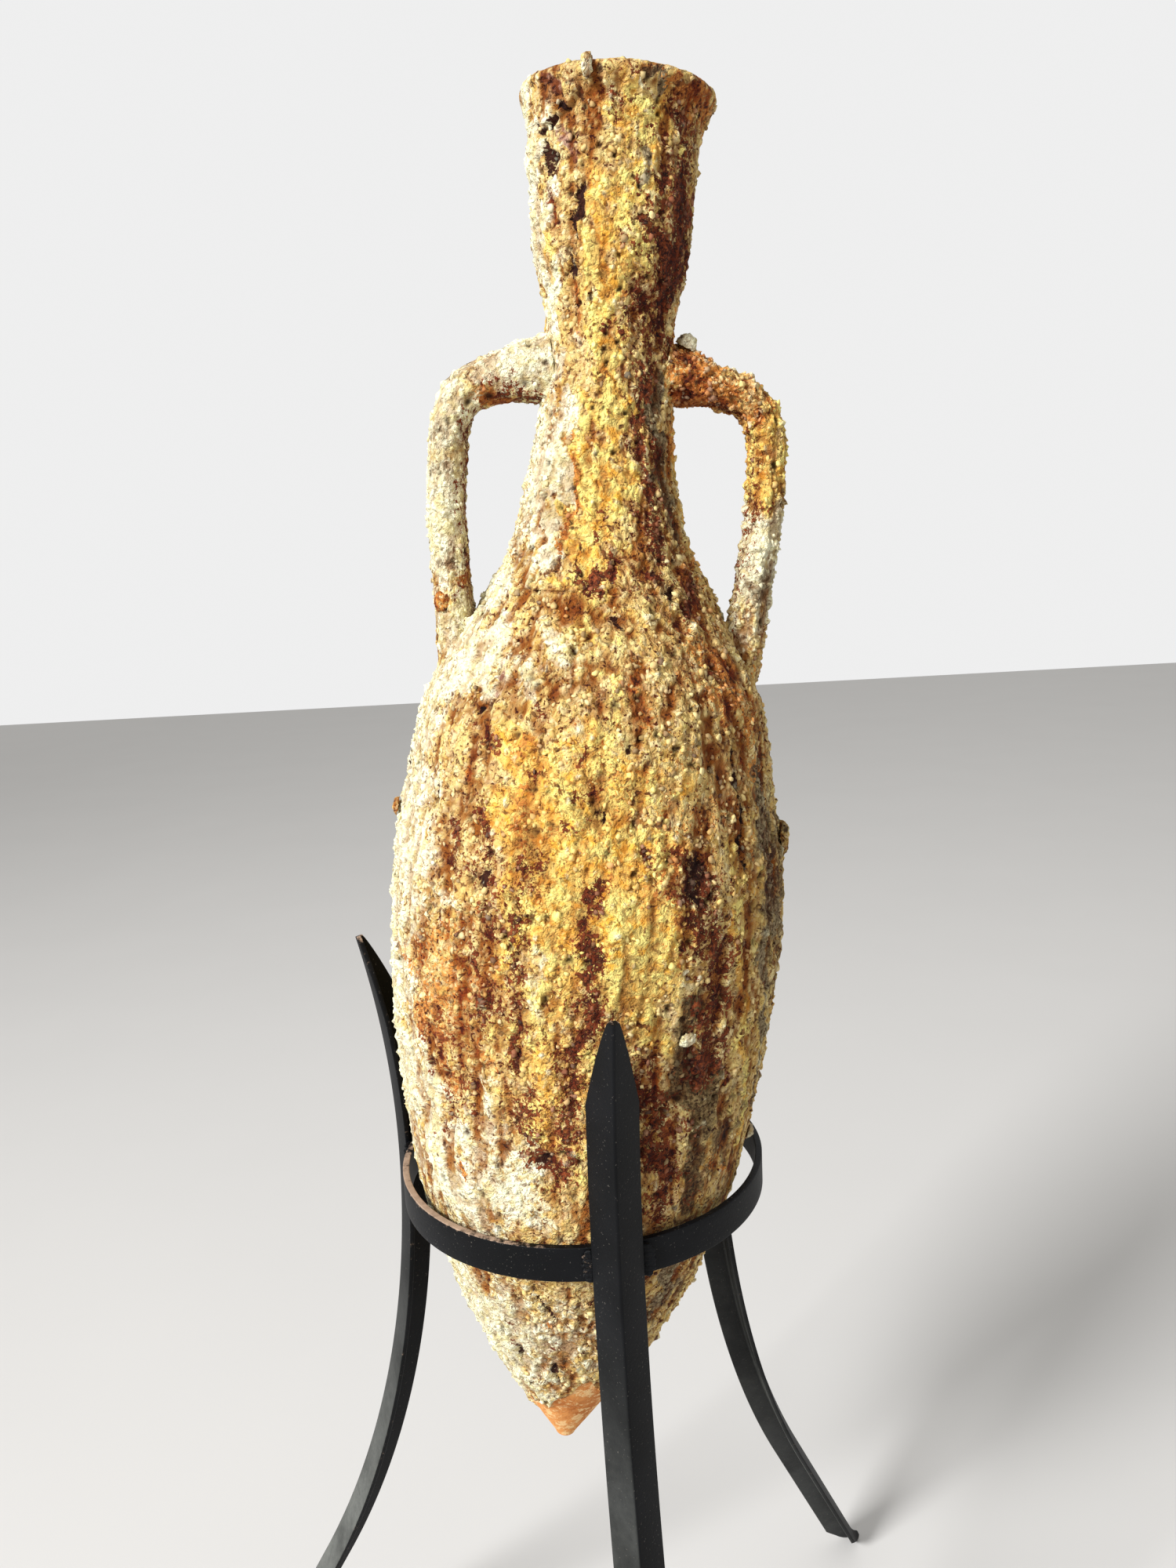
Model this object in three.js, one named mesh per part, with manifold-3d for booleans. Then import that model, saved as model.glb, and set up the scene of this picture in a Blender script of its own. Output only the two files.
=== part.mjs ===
// A crusted two-handled storage jar with a pointed toe, standing in a three-legged steel stand.
// Millimetres, +Z up. The origin is on the ground under the middle of the stand's footprint.
// The jar leans a little and lifts straight up out of the ring that carries it.
import * as THREE from "three";
import { mergeVertices } from "three/addons/utils/BufferGeometryUtils.js";
import Module from "manifold-3d";

const wasm = await Module();
wasm.setup();

const DEGREE = Math.PI / 180;
const FULL_TURN = 2 * Math.PI;
const QUARTER_TURN = Math.PI / 2;
const CORNER_ANGLE = Math.PI / 4;
const MERGE_TOLERANCE = 1e-4;

// Clearances
const CONTACT_GAP = 0.3;
const SEAT_GAP = 0.4;

// Ring of flat bar that carries the jar: its radius follows from the jar that it has to hold
const RING_THICKNESS = 5;
const RING_HEIGHT = 25;
const RING_EDGE_BREAK = 0.7;
const RING_TOP = 618;
const RING_FACES = 64;

// Legs of angle steel, the corner of the angle facing outwards
const FLANGE_WIDTH = 25;
const FLANGE_THICKNESS = 4;
const HEEL_ROUND = 2;
const ROOT_ROUND = 2.5;
const WAIST_BELOW_RING_TOP = 10;
const PRONG_BEND_RADIUS = 680;
const LEG_BEND_RADIUS = 850;
const LEG_SPLAY = 29.5 * DEGREE;
const FOOT_BEND_RADIUS = 45;
const FOOT_ANGLE = 56 * DEGREE;
const PRONG_POINT_LENGTH = 70;
const FOOT_POINT_LENGTH = 36;
const POINT_FLANGE = 5.5;
const SOLE_DEPTH = 1.2;
const GROUND_BLOCK = 120;
// Each leg was bent by hand, so the prongs rise a little more or less above the ring's top.
const FRONT_PRONG_RISE = 174;
const LEFT_PRONG_RISE = 164;
const RIGHT_PRONG_RISE = 168;
const LEGS = [
  {
    name: "front",
    azimuth: 7.4 * DEGREE,
    twist: 6 * DEGREE,
    rise: FRONT_PRONG_RISE,
    beads: ["left", "right"],
  },
  {
    name: "left",
    azimuth: -108.3 * DEGREE,
    twist: 2.5 * DEGREE,
    rise: LEFT_PRONG_RISE,
    beads: ["back", "front"],
  },
  {
    name: "right",
    azimuth: 133.4 * DEGREE,
    twist: -8 * DEGREE,
    rise: RIGHT_PRONG_RISE,
    beads: ["front", "back"],
  },
];
const POINT_CURVE_SHARE = 0.85;
const PRONG_STEPS = 12;
const BEND_STEPS = 12;
const STRAIGHT_STEPS = 2;
const FOOT_STEPS = 6;

// Weld beads between the flange edges and the ring
const BEAD_RADIUS = 3.4;
const BEAD_STANDOUT = 1.6;
const BEAD_END_MARGIN = 0.5;
const BEAD_RIPPLES = 4;
const BEAD_RIPPLE_SHARE = 0.1;
const BEAD_END_SHARE = 0.5;
const BEAD_STEPS = 8;
const BEAD_SIDES = 8;

// Jar: heights are along its own axis, from the level of the ring's top edge
const TOE_DROP = 262;
const TOE_LENGTH = 57;
const NECK_FOOT = 435;
const NECK_WAIST = 610;
const MOUTH_HEIGHT = 752;
const RIM_HEIGHT = 22;
const JAR_LEAN_RIGHT = 5.03 * DEGREE;
const JAR_LEAN_FORWARD = 1.5 * DEGREE;
const JAR_OFFSET_LEFT = 4.4;
const BELLY_RADIUS = 144.5;
const COLLAR_RADIUS = 55;
const NECK_WAIST_RADIUS = 43;
const RIM_RADIUS = 65.5;
const TOE_TOP_RADIUS = 41;
const TOE_TIP_RADIUS = 11;
const TOE_TIP_DEPTH = 7;
const BELLY_WALL = 17;
const BORE_RADIUS = 29;
const MOUTH_RADIUS = 45;
const SHOULDER_BORE_RADIUS = 62;
const FLOOR_THICKNESS = 48;
const RIM_EDGE_BREAK = 2.5;
const SEAT_SWELL = 9.175;
const SEAT_SWELL_REACH = 62;
const JAR_FACES = 56;
const NECK_FACES = 36;
const TOE_FACES = 32;
const TOE_ROUND_STEPS = 3;
const BODY_OUTLINE_STEPS = 32;
const NECK_ROW_LENGTH = 18;
const HOLLOW_STEPS = 9;

// Crust of sea growth over the body and neck, worn away where the ring carries the jar.
// It rises and falls by up to about its relief, in broad waves and in single runs and hollows.
const CRUST_RELIEF = 2.5;
const CRUST_WAVE_LENGTH = 80;
const CRUST_WEAR_REACH = 70;
const CRUST_END_FADE = 12;
// Waves: turn and rise of the way they run, in degrees, share of the wave length,
// start in degrees, share of the relief
const CRUST_WAVES = [
  [10, 8, 0.8, 40, 0.24],
  [75, -30, 1.1, 150, 0.22],
  [130, 22, 0.95, 260, 0.24],
  [160, -12, 1.3, 330, 0.2],
  [40, 38, 1.2, 90, 0.2],
];
// Runs and hollows: angle round the jar in degrees, share of the height from the toe's tip to the
// mouth, half width in degrees, half height as such a share, share of the relief
const CRUST_RUNS = [
  [-150, 0.968, 26, 0.022, 1.1],
  [-141, 0.416, 7, 0.19, 0.6],
  [-78, 0.515, 12, 0.09, 0.7],
  [-50, 0.495, 10, 0.108, -0.9],
  [-37, 0.313, 6, 0.045, 1],
  [-43, 0.406, 6, 0.06, 0.7],
  [-98, 0.551, 7, 0.018, 0.8],
  [-125, 0.607, 8, 0.02, 0.8],
  [-92, 0.446, 7, 0.08, -0.6],
  [-128, 0.17, 9, 0.06, 0.6],
  [-100, 0.14, 8, 0.05, -0.6],
  [-117, 0.919, 10, 0.02, -0.8],
  [-150, 0.85, 18, 0.03, 0.6],
  [-48, 0.852, 20, 0.014, -0.7],
  [-63, 0.707, 14, 0.02, 0.8],
  [-5, 0.4, 8, 0.1, 0.6],
  [20, 0.62, 9, 0.09, 0.8],
  [20, 0.84, 18, 0.03, -0.6],
  [40, 0.3, 8, 0.06, -0.6],
  [55, 0.45, 8, 0.12, 0.9],
  [60, 0.93, 20, 0.03, 0.8],
  [75, 0.22, 9, 0.05, 0.7],
  [80, 0.58, 10, 0.05, -0.8],
  [100, 0.36, 7, 0.08, 0.8],
  [110, 0.8, 16, 0.04, 0.6],
  [125, 0.52, 9, 0.1, -0.7],
  [150, 0.44, 7, 0.13, 0.8],
  [160, 0.64, 10, 0.05, 0.7],
];

// Counts for finding how far the leaning body reaches where the ring holds it
const LEVEL_PASSES = 6;
const SEAT_SAMPLES = 180;

// Outline of the body, from its toe end to the foot of the neck:
// shares of the body's length and of its greatest radius
const BODY_OUTLINE_SHARES = [
  [0, 0.284],
  [0.041, 0.394],
  [0.119, 0.567],
  [0.197, 0.706],
  [0.277, 0.813],
  [0.355, 0.894],
  [0.433, 0.944],
  [0.511, 0.98],
  [0.591, 0.996],
  [0.656, 1],
  [0.719, 0.983],
  [0.7875, 0.924],
  [0.875, 0.842],
  [0.945, 0.68],
  [0.981, 0.581],
  [1, 0.536],
];
// The hollow inside the body: shares of the body's length and of its greatest inside radius
const BODY_HOLLOW_SHARES = [
  [0, 0],
  [0.012, 0.2],
  [0.06, 0.4],
  [0.15, 0.6],
  [0.25, 0.77],
  [0.37, 0.9],
  [0.5, 0.975],
  [0.62, 1],
  [0.73, 0.95],
  [0.85, 0.81],
  [0.93, 0.66],
  [0.975, 0.53],
  [1, 0.486],
];
// Lower neck, from the foot of the neck up to its waist: shares of that height,
// and of the step from the waist's radius out to the shoulder's
const NECK_OUTLINE_SHARES = [
  [0, 1],
  [0.086, 0.74],
  [0.246, 0.464],
  [0.4, 0.26],
  [0.6, 0.093],
  [0.8, 0.017],
  [1, 0],
];
// Collar, from the neck's waist up to the rim's lip: shares of that height,
// and of the step from the waist's radius out to the collar's
const COLLAR_OUTLINE_SHARES = [
  [0.085, 0.125],
  [0.186, 0.5],
  [0.32, 0.85],
  [0.57, 0.983],
  [0.79, 1.05],
];
// Lip: shares of the rim's height, and of the step from the collar's radius out to the rim's
const LIP_OUTLINE_SHARES = [
  [0.25, 0.33],
  [0.6, 0.8],
  [0.85, 1],
];
// Inside the neck: shares of the height up to its waist, and of the step out to the shoulder's bore
const NECK_BORE_SHARES = [
  [0, 1],
  [0.12, 0.6],
  [0.3, 0.27],
  [0.55, 0.06],
  [1, 0],
];
// Inside the collar: shares of the height up to the mouth, and of the step out to the mouth's radius
const MOUTH_BORE_SHARES = [
  [0.12, 0.06],
  [0.28, 0.5],
  [0.5, 0.66],
  [0.85, 0.75],
  [0.97, 0.88],
  [1, 1],
];
// Toe: shares of its height, and of the step from the tip's radius out to the top's
const TOE_OUTLINE_SHARES = [
  [0.123, 0],
  [0.45, 0.38],
  [0.75, 0.72],
  [1, 1],
];

// Handles, pulled by hand from neck to shoulder, one slightly wider than the other
const HANDLE_THICKNESS = 26;
const HANDLE_DEPTH = 36;
const HANDLE_RIDGE_SHARE = 0.14;
const HANDLE_RIDGE_SHARPNESS = 6;
const HANDLE_SQUARENESS_SHARE = 0.35;
const HANDLE_STEPS = 24;
const HANDLE_SIDES = 14;
const LEFT_HANDLE_REACH = 107.5;
const LEFT_HANDLE_HEAD = 580;
const LEFT_HANDLE_FOOT = 372;
const RIGHT_HANDLE_REACH = 114;
const RIGHT_HANDLE_HEAD = 579;
const RIGHT_HANDLE_FOOT = 374;
const HANDLES = [
  {
    name: "handle_left",
    side: -1,
    reach: LEFT_HANDLE_REACH,
    head: LEFT_HANDLE_HEAD,
    foot: LEFT_HANDLE_FOOT,
    neckShares: [1.75, 1.25, 1.08],
  },
  {
    name: "handle_right",
    side: 1,
    reach: RIGHT_HANDLE_REACH,
    head: RIGHT_HANDLE_HEAD,
    foot: RIGHT_HANDLE_FOOT,
    neckShares: [1.6, 1.02, 0.96],
  },
];
// Middle line of a handle, from the neck down to the shoulder: shares of its reach and of its height
const HANDLE_LINE_SHARES = [
  [0.335, 1],
  [0.66, 0.967],
  [0.895, 0.913],
  [0.977, 0.822],
  [0.995, 0.683],
  [1, 0.548],
  [0.975, 0.413],
  [0.953, 0.293],
  [0.925, 0.15],
  [0.88, 0],
];
// How much thicker and deeper a handle is at each point of that line than at its middle
const HANDLE_THICKNESS_SHARES = [1, 1, 1, 1, 1, 1, 1, 1, 1.06, 1.2];
const HANDLE_DEPTH_SHARES = [1.2, 1.05, 1, 1, 1, 1, 1, 1, 1.1, 1.25];

// Shells and lumps of growth cemented to the jar. A place is an angle round the axis, from +X,
// with a share of the height from the toe's tip to the mouth. Sizes are shares of one growth size.
const GROWTH_SIZE = 10;
const GROWTH_RINGS = 7;
const GROWTH_SIDES = 12;
const GROWTH_BUMP_SHARE = 0.12;
const LUMP_WAVES = 3;
const GROWTHS = [
  { name: "shell_on_belly", angle: -62.5, heightShare: 0.406, sizeShares: [0.45, 0.75, 0.62], tilt: 20 },
  { name: "lump_on_rim", angle: -109, heightShare: 0.996, sizeShares: [0.55, 0.5, 0.85], tilt: 0 },
  { name: "lump_left_side", angle: -172, heightShare: 0.53, sizeShares: [0.6, 0.6, 0.8], tilt: 10 },
  { name: "lump_right_side", angle: -12, heightShare: 0.517, sizeShares: [0.75, 0.9, 1.5], tilt: -8 },
  { name: "lump_above_ring", angle: -10, heightShare: 0.288, sizeShares: [0.7, 0.6, 0.7], tilt: 0 },
];
// The two that sit on the handles: shares of the handle's reach and height, and of its depth
const HANDLE_GROWTHS = [
  {
    name: "shell_by_handle",
    handle: 1,
    reachShare: 0.46,
    heightShare: 1.1,
    depthShare: -0.12,
    sizeShares: [0.85, 0.75, 0.8],
  },
  {
    name: "lump_on_handle",
    handle: 0,
    reachShare: 1.0,
    heightShare: 0.24,
    depthShare: -0.38,
    sizeShares: [0.9, 0.8, 1],
  },
];

const FIRED_CLAY = { color: 0xc98a45, roughness: 0.95, metalness: 0 };
const BARE_CLAY = { color: 0xc86a2a, roughness: 0.85, metalness: 0 };
const PALE_SHELL = { color: 0xe9ddc0, roughness: 0.8, metalness: 0 };
const BLACK_STEEL = { color: 0x15161a, roughness: 0.45, metalness: 0.2 };

// Solids and meshes

function toSolid(geometry) {
  const bare = geometry.index ? geometry.toNonIndexed() : geometry.clone();
  const positions = new THREE.BufferGeometry();
  positions.setAttribute("position", bare.getAttribute("position"));
  const merged = mergeVertices(positions, MERGE_TOLERANCE);
  return new wasm.Manifold(
    new wasm.Mesh({
      numProp: 3,
      vertProperties: new Float32Array(merged.attributes.position.array),
      triVerts: new Uint32Array(merged.index.array),
    }),
  );
}

function toGeometry(solid) {
  const { numProp, vertProperties, triVerts } = solid.getMesh();
  const count = vertProperties.length / numProp;
  const positions = new Float32Array(3 * count);
  for (let i = 0; i < count; i++)
    positions.set(vertProperties.subarray(i * numProp, i * numProp + 3), 3 * i);
  const geometry = new THREE.BufferGeometry();
  geometry.setAttribute("position", new THREE.BufferAttribute(positions, 3));
  geometry.setIndex(new THREE.BufferAttribute(triVerts, 1));
  geometry.computeVertexNormals();
  return geometry;
}

// A cut can leave a crumb on the far side of a thin wall: the piece is the largest body.
function largestBody(solid) {
  return solid.decompose().reduce((a, b) => (a.volume() > b.volume() ? a : b));
}

function piece(name, geometry, finish) {
  const mesh = new THREE.Mesh(geometry, new THREE.MeshStandardMaterial(finish));
  mesh.name = name;
  return mesh;
}

// A closed solid through rings of points, each ring with the same count, running
// anticlockwise as seen from the last ring. The flat ends take their triangles from capShape.
function loft(rings, capShape) {
  const sides = rings[0].length;
  const positions = rings.flat().flatMap((p) => [p.x, p.y, p.z]);
  const index = [];
  for (let i = 0; i + 1 < rings.length; i++)
    for (let j = 0; j < sides; j++) {
      const a = i * sides + j;
      const b = i * sides + ((j + 1) % sides);
      index.push(a, b, b + sides, a, b + sides, a + sides);
    }
  const last = (rings.length - 1) * sides;
  for (const [a, b, c] of THREE.ShapeUtils.triangulateShape(capShape, [])) {
    index.push(c, b, a);
    index.push(last + a, last + b, last + c);
  }
  const geometry = new THREE.BufferGeometry();
  geometry.setAttribute("position", new THREE.Float32BufferAttribute(positions, 3));
  geometry.setIndex(index);
  return geometry;
}

// A profile of [radius, height] turned about +Z. It runs up the outside and starts and ends
// on the axis, or closes on itself.
function turned(profile, faces) {
  const points = profile.map(([radius, height]) => new THREE.Vector2(radius, height));
  return new THREE.LatheGeometry(points, faces).rotateX(QUARTER_TURN);
}

function smoothLine(points, steps) {
  const curve = new THREE.CatmullRomCurve3(
    points.map(([a, b]) => new THREE.Vector3(a, b, 0)),
    false,
    "centripetal",
  );
  return curve.getPoints(steps).map((p) => [p.x, p.y]);
}

// The same line with points added, so that no two rows are further apart than longest.
function subdivided(points, longest) {
  return points.flatMap(([a, b], i) => {
    if (i === 0) return [[a, b]];
    const [a0, b0] = points[i - 1];
    const count = Math.ceil(Math.abs(a - a0) / longest);
    return Array.from({ length: count }, (_, step) => {
      const share = (step + 1) / count;
      return [a0 + (a - a0) * share, b0 + (b - b0) * share];
    });
  });
}

function valueAt(table, at) {
  if (at <= table[0][0]) return table[0][1];
  for (let i = 1; i < table.length; i++) {
    const [x0, y0] = table[i - 1];
    const [x1, y1] = table[i];
    if (at <= x1) return y0 + ((y1 - y0) * (at - x0)) / (x1 - x0);
  }
  return table[table.length - 1][1];
}

// Jar outlines, as [height, radius]

const BODY_FOOT = -TOE_DROP + TOE_LENGTH;
const BODY_LENGTH = NECK_FOOT - BODY_FOOT;
const LIP_FOOT = MOUTH_HEIGHT - RIM_HEIGHT;

function bodyOutline() {
  const points = BODY_OUTLINE_SHARES.map(([up, out]) => [BODY_FOOT + up * BODY_LENGTH, out * BELLY_RADIUS]);
  return smoothLine(points, BODY_OUTLINE_STEPS);
}

function neckOutline() {
  const shoulder = BODY_OUTLINE_SHARES[BODY_OUTLINE_SHARES.length - 1][1] * BELLY_RADIUS;
  const lower = NECK_OUTLINE_SHARES.map(([up, out]) => [
    NECK_FOOT + up * (NECK_WAIST - NECK_FOOT),
    NECK_WAIST_RADIUS + out * (shoulder - NECK_WAIST_RADIUS),
  ]);
  const collar = COLLAR_OUTLINE_SHARES.map(([up, out]) => [
    NECK_WAIST + up * (MOUTH_HEIGHT - NECK_WAIST),
    NECK_WAIST_RADIUS + out * (COLLAR_RADIUS - NECK_WAIST_RADIUS),
  ]);
  const lip = LIP_OUTLINE_SHARES.map(([up, out]) => [
    LIP_FOOT + up * RIM_HEIGHT,
    COLLAR_RADIUS + out * (RIM_RADIUS - COLLAR_RADIUS),
  ]);
  const points = [...lower, ...collar, ...lip, [MOUTH_HEIGHT, RIM_RADIUS - RIM_EDGE_BREAK]];
  return subdivided(points, NECK_ROW_LENGTH);
}

const OUTLINE = [...bodyOutline(), ...neckOutline().slice(1)];
const radiusAt = (height) => valueAt(OUTLINE, height);

// The jar's place: it leans to the right and slightly forward, about the level of the ring's top.
const LEAN_AXIS = new THREE.Vector3(Math.tan(JAR_LEAN_RIGHT), -Math.tan(JAR_LEAN_FORWARD), 1).normalize();
const LEAN = new THREE.Quaternion().setFromUnitVectors(new THREE.Vector3(0, 0, 1), LEAN_AXIS);
const JAR_PLACE = new THREE.Vector3(-JAR_OFFSET_LEFT, 0, RING_TOP);

// The body is thickest front and back, low down, where the ring carries it.
function swellAt(angle, height) {
  const away = height / SEAT_SWELL_REACH;
  return SEAT_SWELL * Math.exp(-away * away) * Math.sin(angle) ** 2;
}

// How far the crust stands out from the outline, or falls short of it
function crustAt(angle, height) {
  const radius = radiusAt(height);
  const heightShare = (height + TOE_DROP) / (MOUTH_HEIGHT + TOE_DROP);
  let shares = 0;
  for (const [turn, rise, lengthShare, start, share] of CRUST_WAVES) {
    const across = radius * Math.cos(angle - turn * DEGREE) * Math.cos(rise * DEGREE);
    const way = across + height * Math.sin(rise * DEGREE);
    shares += share * Math.sin((FULL_TURN * way) / (lengthShare * CRUST_WAVE_LENGTH) + start * DEGREE);
  }
  for (const [middle, level, halfAngle, halfHeight, share] of CRUST_RUNS) {
    const apart = angle - middle * DEGREE;
    const aside = Math.atan2(Math.sin(apart), Math.cos(apart)) / (halfAngle * DEGREE);
    const above = (heightShare - level) / halfHeight;
    shares += share * Math.exp(-aside * aside - above * above);
  }
  const worn = 1 - Math.exp(-((height / CRUST_WEAR_REACH) ** 2));
  const toEnd = Math.min(height - BODY_FOOT, MOUTH_HEIGHT - height) / CRUST_END_FADE;
  return CRUST_RELIEF * shares * worn * Math.min(Math.max(toEnd, 0), 1);
}

function skinRadius(angle, height) {
  return radiusAt(height) + swellAt(angle, height) + crustAt(angle, height);
}

// How far from the ring's axis the skin is, at the level of the ring's top edge
function reachAtRingTop(angle) {
  const point = new THREE.Vector3();
  let height = 0;
  for (let pass = 0; pass < LEVEL_PASSES; pass++) {
    const out = skinRadius(angle, height);
    point.set(out * Math.cos(angle), out * Math.sin(angle), height);
    point.applyQuaternion(LEAN).add(JAR_PLACE);
    height -= point.z - RING_TOP;
  }
  return Math.hypot(point.x, point.y);
}

// The ring is rolled to go round the jar where the jar reaches furthest.
const SEAT_REACHES = Array.from({ length: SEAT_SAMPLES }, (_, i) =>
  reachAtRingTop((i * FULL_TURN) / SEAT_SAMPLES),
);
const RING_INNER_RADIUS = Math.max(...SEAT_REACHES) + SEAT_GAP;
const RING_OUTER_RADIUS = RING_INNER_RADIUS + RING_THICKNESS;

// Jar

function bodyHollow() {
  const floor = BODY_FOOT + FLOOR_THICKNESS;
  const widest = BELLY_RADIUS - BELLY_WALL;
  const points = BODY_HOLLOW_SHARES.map(([up, out]) => [floor + up * (NECK_FOOT - floor), out * widest]);
  return smoothLine(points, HOLLOW_STEPS);
}

function bodyGeometry() {
  const foot = BODY_FOOT + CONTACT_GAP;
  const outside = bodyOutline().map(([height, radius]) => [radius, Math.max(height, foot)]);
  const inside = bodyHollow().map(([height, radius]) => [radius, height]);
  inside[0][0] = 0;
  return crusted(turned([[0, foot], ...outside, ...inside.reverse()], JAR_FACES));
}

// The outside skin moved to where the swell and the crust put it; the hollow's skin stays.
function crusted(geometry) {
  const position = geometry.getAttribute("position");
  for (let i = 0; i < position.count; i++) {
    const [x, y, height] = [position.getX(i), position.getY(i), position.getZ(i)];
    const radius = Math.hypot(x, y);
    if (radius > radiusAt(height) - BELLY_WALL / 2) {
      const scale = 1 + (skinRadius(Math.atan2(y, x), height) - radiusAt(height)) / radius;
      position.setXY(i, x * scale, y * scale);
    }
  }
  return geometry;
}

function neckGeometry() {
  const foot = NECK_FOOT + CONTACT_GAP;
  const outside = neckOutline().map(([height, radius]) => [radius, Math.max(height, foot)]);
  const bore = NECK_BORE_SHARES.map(([up, out]) => [
    BORE_RADIUS + out * (SHOULDER_BORE_RADIUS - BORE_RADIUS),
    foot + up * (NECK_WAIST - foot),
  ]);
  const mouth = MOUTH_BORE_SHARES.map(([up, out]) => [
    BORE_RADIUS + out * (MOUTH_RADIUS - BORE_RADIUS),
    NECK_WAIST + up * (MOUTH_HEIGHT - NECK_WAIST),
  ]);
  const inside = [...bore, ...mouth].reverse();
  return crusted(turned([...outside, ...inside, outside[0]], NECK_FACES));
}

function toeGeometry() {
  const tip = -TOE_DROP;
  const points = TOE_OUTLINE_SHARES.map(([up, out]) => [
    TOE_TIP_RADIUS + out * (TOE_TOP_RADIUS - TOE_TIP_RADIUS),
    tip + up * TOE_LENGTH,
  ]);
  const rounded = [];
  for (let i = 0; i < TOE_ROUND_STEPS; i++) {
    const turn = (i * QUARTER_TURN) / TOE_ROUND_STEPS;
    rounded.push([TOE_TIP_RADIUS * Math.sin(turn), points[0][1] - TOE_TIP_DEPTH * Math.cos(turn)]);
  }
  return turned([...rounded, ...points, [0, tip + TOE_LENGTH]], TOE_FACES);
}

// A part of the jar as a full solid, grown by a gap: what sits on the jar is cut by it.
function jarBlank(outline, faces, gap) {
  const outside = outline.map(([height, radius]) => [radius + gap, height]);
  outside[0][1] -= gap;
  outside[outside.length - 1][1] += gap;
  const last = outside[outside.length - 1][1];
  return toSolid(crusted(turned([[0, outside[0][1]], ...outside, [0, last]], faces)));
}

function handleGeometry({ side, reach, head, foot, neckShares }, gap) {
  const points = HANDLE_LINE_SHARES.map(
    ([out, up]) => new THREE.Vector3(side * out * reach, 0, foot + up * (head - foot)),
  );
  const line = new THREE.CatmullRomCurve3(points, false, "centripetal");
  const thickShares = [...neckShares, ...HANDLE_THICKNESS_SHARES.slice(neckShares.length)];
  const steps = HANDLE_LINE_SHARES.length - 1;
  const shareAt = (shares, at) => valueAt(shares.map((share, i) => [i / steps, share]), at);
  const section = handleSection();
  const depthways = new THREE.Vector3(0, -side, 0);
  const rings = [];
  for (let i = 0; i <= HANDLE_STEPS; i++) {
    const at = i / HANDLE_STEPS;
    const middle = line.getPoint(at);
    const along = line.getTangent(at);
    const outwards = new THREE.Vector3().crossVectors(along, depthways);
    const thick = (shareAt(thickShares, at) * HANDLE_THICKNESS) / 2 + gap;
    const deep = (shareAt(HANDLE_DEPTH_SHARES, at) * HANDLE_DEPTH) / 2 + gap;
    rings.push(
      section.map(({ x, y }) =>
        middle.clone().addScaledVector(outwards, -x * thick).addScaledVector(depthways, y * deep),
      ),
    );
  }
  return loft(rings, section);
}

// A handle's section, as shares of its half thickness and half depth, with a soft ridge outside
function handleSection() {
  const points = [];
  for (let i = 0; i < HANDLE_SIDES; i++) {
    const turn = (i * FULL_TURN) / HANDLE_SIDES;
    const ridge = HANDLE_RIDGE_SHARE * Math.max(0, Math.cos(turn)) ** HANDLE_RIDGE_SHARPNESS;
    const corner = Math.max(Math.abs(Math.cos(turn)), Math.abs(Math.sin(turn))) ** HANDLE_SQUARENESS_SHARE;
    points.push(new THREE.Vector2(Math.cos(turn) / corner + ridge, Math.sin(turn) / corner));
  }
  return points;
}

// A lump: a ball with a few soft bumps, stretched outwards, sideways and upwards
function lumpGeometry([out, across, up]) {
  const geometry = new THREE.SphereGeometry(1, GROWTH_SIDES, GROWTH_RINGS);
  const position = geometry.getAttribute("position");
  for (let i = 0; i < position.count; i++) {
    const [x, y, z] = [position.getX(i), position.getY(i), position.getZ(i)];
    const wave = Math.sin(LUMP_WAVES * x + out) * Math.sin(LUMP_WAVES * z + up) * (1 - y * y);
    const size = GROWTH_SIZE * (1 + GROWTH_BUMP_SHARE * wave);
    position.setXYZ(i, x * out * size, -z * across * size, y * up * size);
  }
  return geometry;
}

function growthOnSkin({ angle, heightShare, sizeShares, tilt }) {
  const turn = angle * DEGREE;
  const height = heightShare * (MOUTH_HEIGHT + TOE_DROP) - TOE_DROP;
  const radius = skinRadius(turn, height);
  const geometry = lumpGeometry(sizeShares).rotateX(tilt * DEGREE).rotateZ(turn);
  return geometry.translate(radius * Math.cos(turn), radius * Math.sin(turn), height);
}

function growthOnHandle({ handle, reachShare, heightShare, depthShare, sizeShares }) {
  const { side, reach, head, foot } = HANDLES[handle];
  const height = foot + heightShare * (head - foot);
  return lumpGeometry(sizeShares).translate(side * reachShare * reach, depthShare * HANDLE_DEPTH, height);
}

// Stand

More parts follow.
